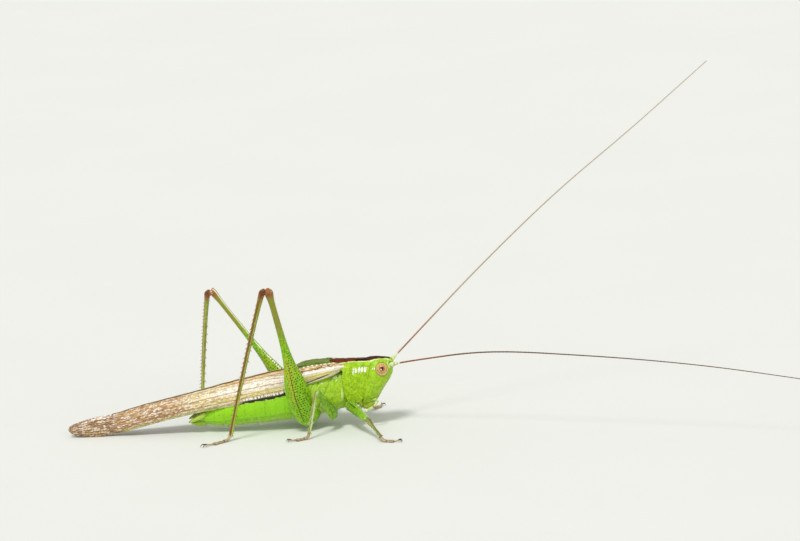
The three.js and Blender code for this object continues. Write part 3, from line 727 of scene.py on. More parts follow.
# Level rings from the mouth to the crown, pinched in front and behind: y = half sin(turn) (1 - pinch). Eye
# rims, sockets, brow and seams are then raised or cut along their normals.
def headShape():
    share = endRows(head["rows"], 0.07)
    z = mixed(head["low"], head["crown"], share)[:, None]
    turn = fullTurn(head["columns"])[None]
    a, b = np.cos(turn), np.sin(turn)
    front, rear, half = (curveThrough(head[key])(z) for key in ("front", "rear", "half"))
    close = roundEnds(share, 0.07, 0.02)[:, None]
    beak = 0.5 * rise(z, 3.5, 4.6) * np.maximum(a, 0) ** 2
    neck = 0.16 * rise(z, 1.6, 2.6) * np.maximum(-a, 0) ** 3
    x = (front + rear) / 2 + a * (front - rear) / 2 * close
    y = b * half * (1 - beak - neck) * close
    grid = np.stack([x, y, z + 0 * turn], -1)
    out = np.abs(y)
    flank = rise(out, 0.3, 0.55)
    ex, _, ez = head["eye"]
    ring = np.hypot((x - ex) / head["eyeLong"], (z - ez) / head["eyeTall"])
    mirrored = np.stack([x, out, z + 0 * turn], -1)
    socket = np.linalg.norm(mirrored - head["socket"], axis=-1)
    brow = np.linalg.norm((grid - head["brow"]) * [0.8, 1.0, 1.2], axis=-1)
    spot = np.linalg.norm(grid - head["ocellus"], axis=-1)
    ahead = rise(a, 0.1, 0.5)
    cheek = x - (5.3 - 0.28 * (3.6 - z))
    jaw = x - (4.62 - 0.22 * (2.6 - z))
    lip = z - (1.9 + 0.25 * np.maximum(a, 0))
    relief = flank * (0.02 * hump(ring, 1.25, 0.14) - 0.14 * fall(ring, 0.8, 1.12))
    relief += 0.05 * hump(socket, 0.27, 0.07) - 0.08 * fall(socket, 0.1, 0.22)
    relief += 0.1 * hump(brow, 0.0, 0.25) + 0.035 * hump(spot, 0.0, 0.08)
    relief -= 0.05 * ahead * hump(out, 0.25, 0.05) * rise(z, 4.35, 4.55)
    relief -= 0.035 * flank * hump(cheek, 0, 0.06) * fall(z, 3.5, 3.7)
    relief -= 0.03 * ahead * hump(out, 0.46 + 0.05 * (z - 3), 0.05) * rise(z, 1.9, 2.2) * (z < 3.9)
    relief -= 0.045 * hump(lip, 0, 0.05) * rise(a, -0.2, 0.2)
    relief += flank * 0.05 * hump(jaw, -0.12, 0.1) * fall(z, 2.7, 3.1)
    relief += 0.012 * softNoise(x * 4 + y, z * 4, 8)
    grid += gridNormals(grid) * relief[..., None]
    top = rise(z, 4.5, 4.64)
    width = mixed(0.46, 0.16, rise(x, 4.9, 6.25))
    marks = dict(
        seam=np.clip(0.6 * hump(lip, 0, 0.05) * rise(a, -0.2, 0.2), 0, 1),
        pale=np.clip(flank * hump(ring, 1.2, 0.1) * 0.3 + hump(spot, 0, 0.09)
                     + 0.5 * hump(socket, 0.27, 0.09), 0, 1),
        brow=top * fall(out, width - 0.03, width + 0.03) * fall(x, 6.2, 6.35),
        cream=top * hump(out, width + 0.07, 0.05) * fall(x, 6.1, 6.4),
        # A row of white dashes behind the eye: painted highlights.
        frost=flank * hump(z, 4.18 + 0.2 * (x - 5.1), 0.08) * rise(x, 4.94, 4.98) * fall(x, 5.2, 5.25)
        * dashes(x - 0.15 * (z - 4.2), 7.2, 5) * (a < 0.5),
        rust=0.5 * flank * hump(jaw, -0.1, 0.07) * fall(z, 2.0, 2.5))
    return gridShape(grid, marks)


skinLook = dict(
    tones=("a5cd1c", "95be16"), mottle=4600.0, pitShade=("648c0a", 0.5),
    marks=[("vivid", "93d20a", 0.4), ("saddle", "6b4a2a", 0.6), ("seam", "678a0e", 0.3),
           ("pale", "c6dc86", 0.5), ("rust", "8a8a1e", 0.9), ("brow", "3c1408", 0.25),
           # The white f4f8e4 mark is painted highlights.
           ("cream", "e4e4a4", 0.3), ("frost", "f4f8e4", 0.4)],
    specks=(9500.0, 0.27, 0.34, "40590a", "brow"), pits=(8500.0, 0.6, 0.8), matte="brow", coat=0.05,
    specular=0.35, glow=0.12)
tailPlate = dict(points=[[-6.7, 0, 0.66], [-7.3, 0, 0.68], [-7.8, 0, 0.76]],
                 radii=[[0, 0.24, 0.4], [0.5, 0.22, 0.4], [1, 0.16, 0.28]])
trunk, trunkGrid = trunkShape()
plate = rodShape(tailPlate["points"], tailPlate["radii"], (0, 0, 1), columns=32, cap=0.12, blunt=0.1)
makePiece("skin", [trunk, headShape(), plate], [makeFinish("greenSkin", skinLook)],
          ("prothorax", "thorax", "abdomen_front", "abdomen_rear", "subgenital_plate", "head"))


# Eyes. The sizes of the pupil and of the glint are angles in radians.
eyeLook = dict(
    tones=("deae6c", "cc9656"), mottle=6000.0, specks=(26000.0, 0.4, 0.4, "b07c40", "pupil"),
    marks=[("rim", "e8cc94", 0.8), ("bands", "ad6c3a", 0.6), ("ring", "a05a22", 1.2),
           ("pupil", "060201", 0.3), ("glint", "fff6e8", 0.0)],
    pits=(26000.0, 0.1, 0.8), roughness=(0.2, 0.35), matte="pupil", coat=0.12)
eye = dict(rows=60, columns=80, open=0.03, facing=(0.06, 0.95, 0.34), pupil=0.29,
           glint=(-0.15, 0, -0.14), glintSize=0.08)


# An ellipsoid: centre + (long sin p cos q, deep cos p, tall sin p sin q), with its pole pointing sideways.
def eyeShapes(side):
    p = np.linspace(eye["open"], np.pi - eye["open"], eye["rows"])[:, None]
    q = fullTurn(eye["columns"])[None]
    outwards = np.stack([np.sin(p) * np.cos(q), side * np.cos(p) + 0 * q, np.sin(p) * np.sin(q)], -1)
    radii = [head[key] for key in ("eyeLong", "eyeDeep", "eyeTall")]
    grid = np.array(head["eye"]) * [1, side, 1] + outwards * radii
    towards = unit(np.array(eye["facing"]) * [1, side, 1])
    spot = unit(towards + np.array(eye["glint"]))
    away, glint = (np.arccos(np.clip(outwards @ middle, -1, 1)) for middle in (towards, spot))
    bands = rise(np.cos(outwards[..., 0] * 16), 0.1, 0.9) * rise(away, 0.4, 0.7) * fall(away, 1.0, 1.3)
    marks = dict(rim=rise(away, 0.7, 1.25), ring=0.66 * fall(away, 0.3, 0.85), bands=0.55 * bands,
                 pupil=fall(away, 0.8 * eye["pupil"], 1.1 * eye["pupil"]),
                 glint=fall(glint, eye["glintSize"], 1.5 * eye["glintSize"]))
    return [gridShape(grid, marks)]


makePair("eye", "eye", eyeShapes, makeFinish("eyeGloss", eyeLook))


# Each part of the mouth: its line, its radii, and for the parts on both sides how dark their biting end is.
middleParts = dict(
    clypeus=([[5.16, 0, 1.88], [4.86, 0, 1.5]], [[0, 0.16, 0.5], [1, 0.14, 0.4]]),
    labrum=([[4.9, 0, 1.56], [4.52, 0, 1.18]], [[0, 0.13, 0.4], [0.6, 0.13, 0.36], [1, 0.1, 0.22]]),
    labium=([[4.26, 0, 1.8], [4.2, 0, 1.3]], [[0, 0.14, 0.34], [1, 0.12, 0.26]]),
)
sideParts = dict(
    mandible=([[4.86, 0.56, 1.9], [4.68, 0.46, 1.52], [4.46, 0.16, 1.2]],
              [[0, 0.16, 0.26], [0.6, 0.16, 0.24], [1, 0.07, 0.1]], 1.0),
    maxilla=([[4.5, 0.5, 1.88], [4.42, 0.46, 1.46], [4.34, 0.22, 1.2]],
             [[0, 0.13, 0.2], [0.6, 0.1, 0.15], [1, 0.06, 0.08]], 0.4),
    stipes=([[4.08, 0.42, 2.15], [4.08, 0.46, 1.8], [4.2, 0.36, 1.44]],
            [[0, 0.22, 0.26], [0.5, 0.2, 0.24], [1, 0.1, 0.13]], 0.25),
)
palpJoints = dict(
    maxillary=[[4.62, 0.44, 1.84], [4.9, 0.66, 1.92], [5.22, 0.9, 1.99], [5.34, 1.07, 1.86],
               [5.0, 1.18, 1.56], [4.42, 1.28, 1.27]],
    labial=[[4.24, 0.26, 1.46], [4.16, 0.45, 1.3], [4.06, 0.6, 1.15], [3.92, 0.72, 0.94]],
)
palp = dict(joint=0.062, swelling=1.25, tip=0.09)
palpLook = dict(tones=("c4d77a", "a9c456"), mottle=4000.0,
                marks=[("tipTone", "dfe3b4", 0.2), ("joint", "6f8a2c", 0.3)],
                pits=(14000.0, 0.5, 0.2), roughness=(0.3, 0.45), glow=0.1)
mouthLook = dict(tones=("b6cb34", "96a524"), mottle=5000.0, marks=[("bite", "6a3c10", 0.8)],
                 pits=(12000.0, 0.5, 0.3), glow=0.1)


# A palp: one short rod for each joint between neighbouring points, the last a little swollen at its tip.
def palpShapes(points, side):
    points = np.array(points) * [1, side, 1]
    slim, shapes = palp["joint"], []
    for i, ends in enumerate(zip(points[:-1], points[1:])):
        last = i == len(points) - 2
        full = palp["tip"] if last else slim * palp["swelling"]
        radii = [[0, slim * 0.8], [0.7, full], [1, full * 0.9]]
        marks = dict(tipTone=lambda s, t: rise(s, 0.55, 0.95) * last,
                     joint=lambda s, t: hump(s, 0.02, 0.05))
        shapes.append(rodShape(ends, radii, (0.1, 0.2, 1), 16, 14, 0.14, marks=marks))
    return shapes


# The mouth: three plates on the midline, and rods on each side that darken towards their biting end.
def mouthShapes():
    shapes = [rodShape(*part, (1, 0, 0.3), columns=32, cap=0.2, blunt=0.3) for part in middleParts.values()]
    for side in sides.values():
        for points, radii, amount in sideParts.values():
            marks = dict(bite=lambda s, t: amount * (rise(s, 0.6, 0.85) + 0.4 * hump(s, 0.1, 0.1)))
            path = np.array(points) * [1, side, 1]
            shapes.append(rodShape(path, radii, (0, side, 0.2), cap=0.15, marks=marks))
    return shapes


palpFinish = makeFinish("palpSkin", palpLook)
makePiece("mouthparts_shown", mouthShapes(), [makeFinish("mouthSkin", mouthLook)],
          ("mouthparts",))
for name, side in sides.items():
    for kind, points in palpJoints.items():
        makePiece(kind + "Palp" + name.title(), palpShapes(points, side), [palpFinish],
                  (f"{kind}_palp_{name}",))


# Antennae, with the two tones, the rings and the far part of each in `antennaTones`.
antenna = dict(scape=[[0, 0.13], [0.5, 0.17], [1, 0.12]], pedicel=[[0, 0.09], [0.6, 0.115], [1, 0.08]],
               elbow=0.42, stub=0.66, rows=1400, columns=8, whip=0.062, tip=0.028, ringLength=0.26)
antennaTones = dict(right=("8e4e2a", "6d3a20", "8a4a1e", "5c3a26"),
                    left=("a06a44", "87573a", "8a5430", "a48f78"))


# Two stout joints, then a whip of short rings: radius = taper x (1 + a swelling at each ring's far end).
def antennaShapes(name):
    base = limbEnds("antenna_base_" + name, eyeSeat)
    inner = sectionMiddles("antenna_inner_" + name, np.linspace(0.04, 1, 9)[:-1], base[0])
    outer = sectionMiddles("antenna_outer_" + name, np.linspace(0.01, 0.995, 9), base[0])
    start, end = base
    along = unit(end - start)
    elbow, stub = (start + along * antenna[key] for key in ("elbow", "stub"))
    up = np.array([0.0, 0.3, 1.0])
    pale = dict(pale=lambda s, t: 1, joint=lambda s, t: 0.8 * hump(s, 1.0, 0.1) + 0.5 * hump(s, 0.0, 0.12))
    scape = rodShape([start - along * 0.1, elbow], antenna["scape"], up, cap=0.12, marks=pale)
    pedicel = rodShape([elbow - along * 0.03, stub], antenna["pedicel"], up, cap=0.14, marks=pale)
    path = smoothPath([stub - along * 0.04, *inner, *outer], antenna["rows"])
    length = np.linalg.norm(np.diff(path, axis=0), axis=1).sum()
    share = np.linspace(0, 1, len(path))
    ring = share * length / antenna["ringLength"]
    ring -= np.floor(ring)
    taper = mixed(antenna["whip"], antenna["tip"], share**0.7)
    radius = taper * (0.92 + 0.16 * ring**3) * roundEnds(share, 0.001, 0.2)
    marks = dict(pale=fall(share * length, 0.05, 0.4)[:, None], joint=0.8 * rise(ring, 0.8, 1.0)[:, None],
                 far=rise(share, 0.06, 0.22)[:, None])
    return [scape, pedicel, gridShape(limbGrid(path, radius, radius, up, antenna["columns"]), marks)]


for name, (light, dark, joint, far) in antennaTones.items():
    look = dict(tones=(light, dark), mottle=900.0, pits=(20000.0, 0.4, 0.2), roughness=(0.35, 0.5),
                marks=[("pale", "d3dfa4", 0.3), ("joint", joint, 0.0), ("far", far, 0.0)])
    finish = makeFinish(f"antenna{name.title()}Finish", look)
    makePiece("antenna" + name.title(), antennaShapes(name), [finish],
              [f"antenna_{part}_{name}" for part in ("base", "inner", "outer")])


# The shield behind the head: `arch` rows are [share, half width, height], and the edges' are [height, x].
pronotum = dict(
    rows=181, columns=96, thickness=0.07,
    arch=[[0, 0.0, 4.76], [0.12, 0.36, 4.75], [0.24, 0.76, 4.6], [0.34, 1.03, 4.28], [0.46, 1.17, 3.84],
          [0.62, 1.21, 3.24], [0.8, 1.16, 2.5], [1, 1.0, 1.78]],
    rearEdge=[[1.78, 3.5], [1.86, 3.36], [2.05, 3.22], [2.5, 3.08], [3.3, 2.97], [3.9, 2.92], [4.15, 2.96],
              [4.4, 2.66], [4.58, 2.24], [4.76, 2.08]],
    frontEdge=[[1.78, 3.6], [1.86, 3.98], [2.05, 4.24], [2.5, 4.52], [4.0, 4.76], [4.44, 4.9], [4.76, 4.9]],
)


# An arch from side to side, drawn at each height from the rear edge to the front edge:
# x = mixed(rear, front, u). Rims, ditches and dents are humps across it.
def pronotumShape():
    side = np.linspace(-1, 1, pronotum["rows"])[:, None]
    s = np.abs(side)
    half, z = sizesAlong(pronotum["arch"], s)
    u = rise(endRows(pronotum["columns"] - 14, 0.04), -0.05, 1.05)[None]
    u = (u - u.min()) / (u.max() - u.min())
    x = mixed(curveThrough(pronotum["rearEdge"])(z), curveThrough(pronotum["frontEdge"])(z), u)
    y = np.sign(side) * half * (1 - 0.26 * rise(x, 3.2, 4.85))
    grid = np.stack([x, y + 0 * u, z + 0 * u], -1)
    rim = hump(u, 0.0, 0.035) + hump(u, 1.0, 0.03) + hump(s, 1.0, 0.03)
    ditch = hump(u, 0.09, 0.03) + hump(u, 0.93, 0.03)
    relief = 0.012 * np.minimum(rim, 1) - 0.012 * ditch
    for at, depth in ((0.4, 0.05), (0.66, 0.035)):
        bent = at + 0.06 * rise(s, 0.25, 0.7)
        relief -= depth * hump(u, bent, 0.03) * fall(s, 0.6, 0.8) * rise(s, 0.05, 0.2)
    relief += 0.05 * hump(u, 0.24, 0.16) * hump(s, 0.62, 0.25)
    relief += 0.04 * hump(u, 0.55, 0.1) * hump(s, 0.5, 0.2)
    relief += 0.02 * hump(y, 0, 0.04) * fall(u, 0.45, 0.6)
    relief += 0.014 * softNoise(x * 7, z * 7 + y * 3, 12) * rise(s, 0.15, 0.3)
    relief -= 0.03 * cellWalls(x * 5.5, (z + y) * 5.5, 0.5, 0.8, 4) * hump(s, 0.36, 0.07)
    grid += gridNormals(grid, False) * relief[..., None]
    width = mixed(0.74, 0.42, u) - 0.06 * hump(u, 0.55, 0.2)
    out = np.abs(y)
    # The white dashes on the lobes are painted highlights: glints of light on the pitted shield.
    paintedGlintTall = mixed(0.05, 0.066, hashed(np.floor(x * 6), 0, 2))
    marks = dict(
        brow=fall(out, width - 0.03, width + 0.02), centre=hump(out, 0.0, 0.035),
        ember=fall(u, 0.5, 0.85)
        * (0.95 * hump(out, width * 0.8, 0.05) + 0.76 * hump(out, width * 0.48, 0.06)),
        cream=hump(out, width + 0.05, 0.045) * mixed(1, 0.7, u),
        frost=hump(s, 0.386 - 0.012 * u + 0.015 * softNoise(x * 6, 0 * s, 4), paintedGlintTall)
        * rise(u, 0.36, 0.42) * fall(u, 0.9, 0.95)
        * np.minimum(1, 0.3 + dashes(x - 0.15 * (z - 4.2), 4.7, 9)),
        edge=0.45 * np.clip(hump(u, 0, 0.03) + hump(u, 1, 0.02) + hump(s, 1, 0.02), 0, 1)
        * rise(s, 0.3, 0.4))
    fade = np.sqrt(np.clip(np.minimum(u, 1 - u) / 0.05, 0, 1) * np.clip((1 - s) / 0.03, 0, 1))
    return plateShape(grid, pronotum["thickness"] * fade, marks)


pronotumLook = dict(
    tones=("aad31c", "92ba14"), mottle=4600.0, pitShade=("5f880a", 0.5),
    marks=[("edge", "b9d267", 0.3), ("cream", "e8e8ac", 0.3), ("brow", "280802", 0.2),
           # The white f4f8e4 mark is painted highlights.
           ("ember", "983e08", 0.5), ("centre", "b07844", 0.3), ("frost", "f4f8e4", 0.5)],
    ragScale=9000.0, specks=(9500.0, 0.3, 0.55, "3a5406", "brow"), pits=(8500.0, 0.6, 0.9),
    matte="brow", specular=0.22, glow=0.1)
makePiece("pronotumShield", [pronotumShape()], [makeFinish("pronotumSkin", pronotumLook)],
          ("pronotum",))


# Fore wings: the tables run along x, and the tip's edge and both sections from low to midline.
cover = dict(
    rows=420, columns=104, thickness=0.045,
    top=[[-13.5, 1.5], [-12.2, 1.8], [-10.84, 2.16], [-9.48, 2.47], [-8.1, 2.75], [-6.9, 3.02],
         [-5.0, 3.47], [-2.9, 3.91], [-1.4, 4.19], [-0.2, 4.4], [0.5, 4.54], [1.6, 4.66], [2.7, 4.66],
         [3.2, 4.5]],
    low=[[-13.5, 0.14], [-12.25, 0.38], [-10.2, 0.92], [-8.1, 1.42], [-5.9, 1.83], [-4.2, 2.1], [-2.2, 2.4],
         [-1, 2.66], [0.7, 3.3], [1.6, 3.58], [2.35, 3.86], [2.95, 4.16], [3.2, 4.2]],
    half=[[-13.5, 0.4], [-11, 0.62], [-8, 0.96], [-4, 1.24], [-1, 1.36], [1, 1.36], [2.3, 1.2],
          [2.8, 1.02], [3.2, 0.9]],
    root=3.2,
    tipEdge=[[0, -12.2], [0.15, -13.05], [0.4, -13.5], [0.7, -13.4], [1, -13.2]],
    flatSection=[[0, 0.79, 0.0], [0.2, 0.94, 0.26], [0.4, 1.0, 0.56], [0.55, 0.96, 0.8], [0.66, 0.84, 0.94],
                 [0.78, 0.54, 0.99], [1, 0.02, 1.0]],
    roofSection=[[0, 0.9, 0.0], [0.2, 1.0, 0.22], [0.4, 0.97, 0.48], [0.6, 0.82, 0.74], [0.75, 0.57, 0.9],
                 [0.88, 0.27, 0.965], [1, 0.02, 1.0]],
    veins=[[0.1, 0.14, 0.17, 0.014], [0.22, 0.26, 0.27, 0.02], [0.34, 0.38, 0.36, 0.014],
           [0.46, 0.52, 0.46, 0.018], [0.62, 0.7, 0.54, 0.014], [0.76, 0.81, 0.6, 0.022]],
    songVeins=[[1.0, 1.6, 0.8, 1, 0.05, 0.04], [0.7, -1.2, 0.8, 1, 1.95, 0.03],
               [0.6, 2.2, 0.8, -1, -0.4, 0.03], [0.6, -3, 0.85, 1, 0.75, 0.025]],
    overlap=0.3, lift=0.03,
)


# A wing from its tip to its root (u) and from its lower edge over the shoulder to the midline (s). Its
# section goes from a roof behind to a flat back in front: mixed(roof, flat, front). Veins, which are humps
# across s, pleats, which are cosines, and the song field are raised on it.
def coverShapes(side):
    s = np.linspace(0, 1, cover["columns"])[None]
    u = np.linspace(0, 1, cover["rows"])[:, None]
    x = mixed(curveThrough(cover["tipEdge"])(s), cover["root"] + 0 * s, u**1.04)
    top, low, half = (curveThrough(cover[key])(x) for key in ("top", "low", "half"))
    front = rise(x, -1.6, 0.5)
    roof, flat = sizesAlong(cover["roofSection"], s), sizesAlong(cover["flatSection"], s)
    wide, tall = (mixed(behind, ahead, front) for behind, ahead in zip(roof, flat))
    over = rise(s, 0.84, 1.0) * (side > 0)
    y = half * wide - cover["overlap"] * over * half * mixed(0.3, 1.0, front) - 0.015 * (1 - over)
    z = low + (top - low) * tall + cover["lift"] * over
    grid = np.stack([x, side * y, z], -1)
    far = rise(-x, 4.5, 12)
    lines = 0 * x
    for tipAt, middleAt, rootAt, width in cover["veins"]:
        at = curveThrough([[-13.5, tipAt], [-3, middleAt], [0.5, rootAt], [2.95, rootAt]])(x)
        lines = np.maximum(lines, hump(s, at + 0.005 * softNoise(x * 1.5, at * 9, 6), width * 0.5))
    slope = s * 19 + 0.24 * x + 0.6 * softNoise(x * 0.8, s * 4, 2)
    pleats = np.maximum(np.cos(slope * 2 * np.pi), 0) ** 4
    bars = np.maximum(np.cos((x * 5.2 + s * 1.5) * np.pi), 0) ** 4 * fall(s, 0.08, 0.13)
    song = rise(x + 3.5 * (s - 0.87), -1.1, 0.1) * fall(x, 2.2, 2.4) * rise(s, 0.73, 0.77)
    warp = 0.12 * softNoise(x * 2.5, s * 14, 21)
    pane = np.hypot((x - 1.0) / 0.75, (s - 0.88) / 0.085) + warp
    panes = 0.8 * hump(pane, 1.0, 0.07) + hump(s + 0.03 * warp, 0.8, 0.008)
    for strength, slant, middle, way, at, width in cover["songVeins"]:
        panes = panes + strength * hump(x + slant * (s - middle) + way * warp, at, width)
    panes = np.clip(panes, 0, 1)
    relief = 0.028 * lines + 0.008 * pleats * (1 - song) + 0.012 * bars
    relief += song * (0.05 * panes + 0.045 * hump(s, 0.78, 0.06) + 0.03 * softNoise(x * 5, s * 22, 5))
    relief += 0.018 * softNoise(x * 2.2, s * 5, 9) * rise(s, 0.02, 0.1) + 0.02 * hump(s, 0.0, 0.02)
    grid += gridNormals(grid, False) * relief[..., None]
    purple = hump(s, mixed(0.15, 0.24, rise(x, 0.2, 2.4)), 0.03) * rise(x, -0.8, 0.0) * fall(x, 1.6, 2.5)
    jag = 1.25 * spikes(x + 0.3 * s, 8.5, 3)
    fringe = rise(x, -5.4, -3.0) * fall(x, -0.2, 0.3)
    # A dark ragged band along the lower edge: partly the dark margin with its cross veins, partly painted
    # shade of the gap between wing and body.
    teeth = fall(s - 0.15 * jag, 0.075, 0.11) * fringe
    snow = rise(s, 0.11, 0.15) * fall(s - 0.11 * spikes(x + 0.07, 8.5, 6), 0.15, 0.2) * fringe
    near = 1 - front
    flecks = front * rise(s, 0.52, 0.56) * fall(s, 0.7, 0.73)
    # In the strip below the song field: dark brown flecks, and white flecks that are painted glitter
    # highlights.
    grime = flecks * rise(softNoise(x * 5.5, s * 34, 31), 0.05, 0.3)
    glitterGlint = flecks * rise(softNoise(x * 5.5 + 3, s * 30, 37), 0.02, 0.25)
    crest = front * hump(s + 0.01 * softNoise(x * 5, 0 * s, 41), 0.972, 0.014)
    frontSnow = hump(s, 0.13, 0.035) * rise(x, -0.4, 0.2) + 0.7 * hump(s, 0.5, 0.05)
    frontSnow = frontSnow + 0.8 * hump(s, 0.745, 0.02) * rise(np.cos(x * 21 + 9 * s), -0.2, 0.5)
    amberAt = mixed(0.81, 0.59, front)
    marks = dict(
        netted=mixed(1, 0.75, song) * mixed(0.55, 1, far) * mixed(1, 0.45, front), far=far,
        pearl=hump(s, mixed(0.58, 0.4, front), 0.19) * rise(x, -9, -3.5) * (1 - 0.1 * front),
        yolk=np.clip(hump(s, 0.31, 0.075) * rise(x, -10, -4)
                     + 0.5 * front * hump(s, 0.36, 0.06), 0, 1) * (1 - 0.5 * rise(x, 1.8, 2.6)),
        gild=front * rise(s, 0.55, 0.6) * fall(s, 0.72, 0.78) * (0.8 + 0.4 * softNoise(x * 4, s * 25, 17)),
        margin=front * fall(s, 0.06, 0.1) * (1 - 0.5 * bars),
        gold=0.8 * rise(s, 0.84, 0.89) * near * rise(x, -9, -4),
        song=song, frame=song * panes,
        streak=np.clip(hump(s, 0.4, 0.2) * rise(-x, 6, 11) * (0.3 + 1.1 * softNoise(x * 2.2, s * 44, 7))
                       + 0.75 * hump(s, 0.26, 0.035) * rise(-x, 5, 7), 0, 1),
        rills=pleats * mixed(0.16, 0.75, far) * (1 - song),
        lines=np.clip(lines, 0, 1) * (1 - song) * (1 - 0.4 * front),
        amber=hump(s, amberAt, mixed(0.014, 0.026, front)) * rise(x, -9, -3) * (1 - 0.6 * rise(x, 1.2, 2)),
        leaf=fall(s, 0.1, 0.17) * rise(-x, 4.6, 6.2),
        # snow: white bands along the lower edge and round the song field, and the white flecks of painted
        # glitter highlights.
        snow=np.clip(snow + front * frontSnow + 0.55 * glitterGlint + crest * (0.3 + 0.12 * np.cos(x * 17)), 0, 1),
        purple=purple, teeth=teeth, grime=0.6 * grime,
        ridge=rise(s, 0.94, 0.96) * near + hump(s, 0.0, 0.012) * rise(-x, 5, 7) * 0.7
        + fall(s, 0.955, 0.975) * fall(u, 0.0, 0.012) * rise(s, 0.7, 0.9))
    rimU = np.clip(np.minimum(u, 1 - u) / 0.01, 0, 1)
    rimS = np.clip(np.minimum(s, 1 - s) / 0.02, 0, 1)
    return [plateShape(grid, cover["thickness"] * np.sqrt(rimU * rimS), marks)]


coverLook = dict(
    tones=("f0e3b2", "e0cd8c"), mottle=2600.0,
    marks=[("far", "ceac74", 0.8), ("pearl", "faf1dc", 0.8), ("yolk", "e6d880", 0.8),
           ("gold", "dcb05c", 0.9), ("streak", "94683c", 0.8), ("leaf", "bcc65c", 0.6),
           ("gild", "b88c2a", 1.4)],
    # The net's pale cell tone fcf5ea is partly painted glints.
    net=(0.2, 0.075, 0.26, "80593a", 0.55, "fcf5ea", "8a5f3c"),
    over=[("rills", "a87e4c", 0.9), ("lines", "9a6f3c", 0.7), ("margin", "9cb83c", 0.8),
          ("song", "688214", 1.0), ("frame", "5e5018", 0.8), ("snow", "fbf7ee", 0.9),
          ("amber", "ad7424", 0.5), ("purple", "5a2c24", 0.3), ("grime", "6a4428", 0.9),
          # teeth: a dark lower edge, partly painted shade under the wing.
          ("teeth", "35221a", 0.9), ("ridge", "5e4212", 0.2)],
    ragScale=11000.0, specks=(13000.0, 0.3, 0.3, "8a6a48", "song"), pits=(16000.0, 0.6, 0.35),
    roughness=(0.28, 0.45), coat=0.06, specular=0.35)
makePair("foreWing", "fore_wing", coverShapes, makeFinish("coverSkin", coverLook))


# The tips of the folded hind wings.
fan = dict(root=-12.0, tip=-16.4, rows=150, columns=72,
           top=[[-16.4, 0.72], [-15.6, 1.02], [-14.2, 1.36], [-12.0, 1.56]],
           low=[[-16.4, 0.46], [-16.0, 0.2], [-15.2, 0.05], [-14.4, 0.0], [-12.0, 0.34]],
           half=[[-16.4, 0.06], [-15.4, 0.14], [-12.0, 0.19]])


# A folded fan: tall thin ovals whose sides are pleated lengthwise by a cosine round the section.
def fanShapes(side):
    share = endRows(fan["rows"], 0.06)
    x = mixed(fan["root"], fan["tip"], share)[:, None]
    top, low, half = (curveThrough(fan[key])(x) for key in ("top", "low", "half"))
    turn = fullTurn(fan["columns"])[None]
    close = roundEnds(share, 0.06, 0.05)[:, None]
    height = np.cos(turn)
    pleat = np.cos(height * 22 + 2 * share[:, None])
    z = (top + low) / 2 + (top - low) / 2 * close * height
    y = side * (0.21 + half * close * np.sin(turn) * (1 + 0.16 * pleat))
    marks = dict(pleat=0.8 * rise(pleat, 0.4, 1.0), netted=1,
                 leaf=rise(-height, 0.8, 0.95) * fall(share[:, None], 0.5, 0.9),
                 dark=np.clip(1.3 * softNoise(x * 2.4, height * 9, 3) + 0.1, 0, 1))
    return [gridShape(np.stack([x + 0 * turn, y, z], -1), marks)]


fanLook = dict(tones=("d0b078", "ba965c"), mottle=3000.0,
               marks=[("dark", "845a36", 0.9), ("leaf", "bcc65c", 0.6)],
               # The net's pale cell tone f3e8d8 is partly painted glints.
               net=(0.22, 0.08, 0.3, "6e482c", 0.6, "f3e8d8", "7a5234"), over=[("pleat", "744a2a", 0.8)],
               ragScale=9000.0, pits=(15000.0, 0.6, 0.35), roughness=(0.28, 0.5), coat=0.1)
makePair("hindWing", "hind_wing", fanShapes, makeFinish("fanSkin", fanLook))


# Cerci.
cercus = dict(points=[[-6.75, 0.5, 1.45], [-7.2, 0.66, 1.18], [-7.95, 0.5, 0.82]],
              radii=[[0, 0.2, 0.2], [0.45, 0.17, 0.18], [0.75, 0.12, 0.13], [1, 0.05, 0.05]],
              tooth=(-7.3, 0.56, 1.12), toothLength=0.26, toothRadius=0.06)
cercusLook = dict(tones=("bccf62", "a3bf3c"), mottle=4000.0, marks=[("end", "b07a3c", 0.8)], glow=0.1)


# A tapering rod with one inner tooth.
def cercusShapes(side):
    mirror = np.array([1, side, 1])
    tail = rodShape(cercus["points"] * mirror, cercus["radii"], (0, 0, 1), cap=0.08,
                    marks=dict(end=lambda s, t: 0.7 * rise(s, 0.85, 0.97)))
    tooth = coneShape(cercus["tooth"] * mirror[None], unit(np.array([[-0.4, -side, -0.1]])),
                      [cercus["toothLength"]], cercus["toothRadius"])
    return [tail, tooth]


makePair("cercus", "cercus", cercusShapes, makeFinish("cercusSkin", cercusLook))


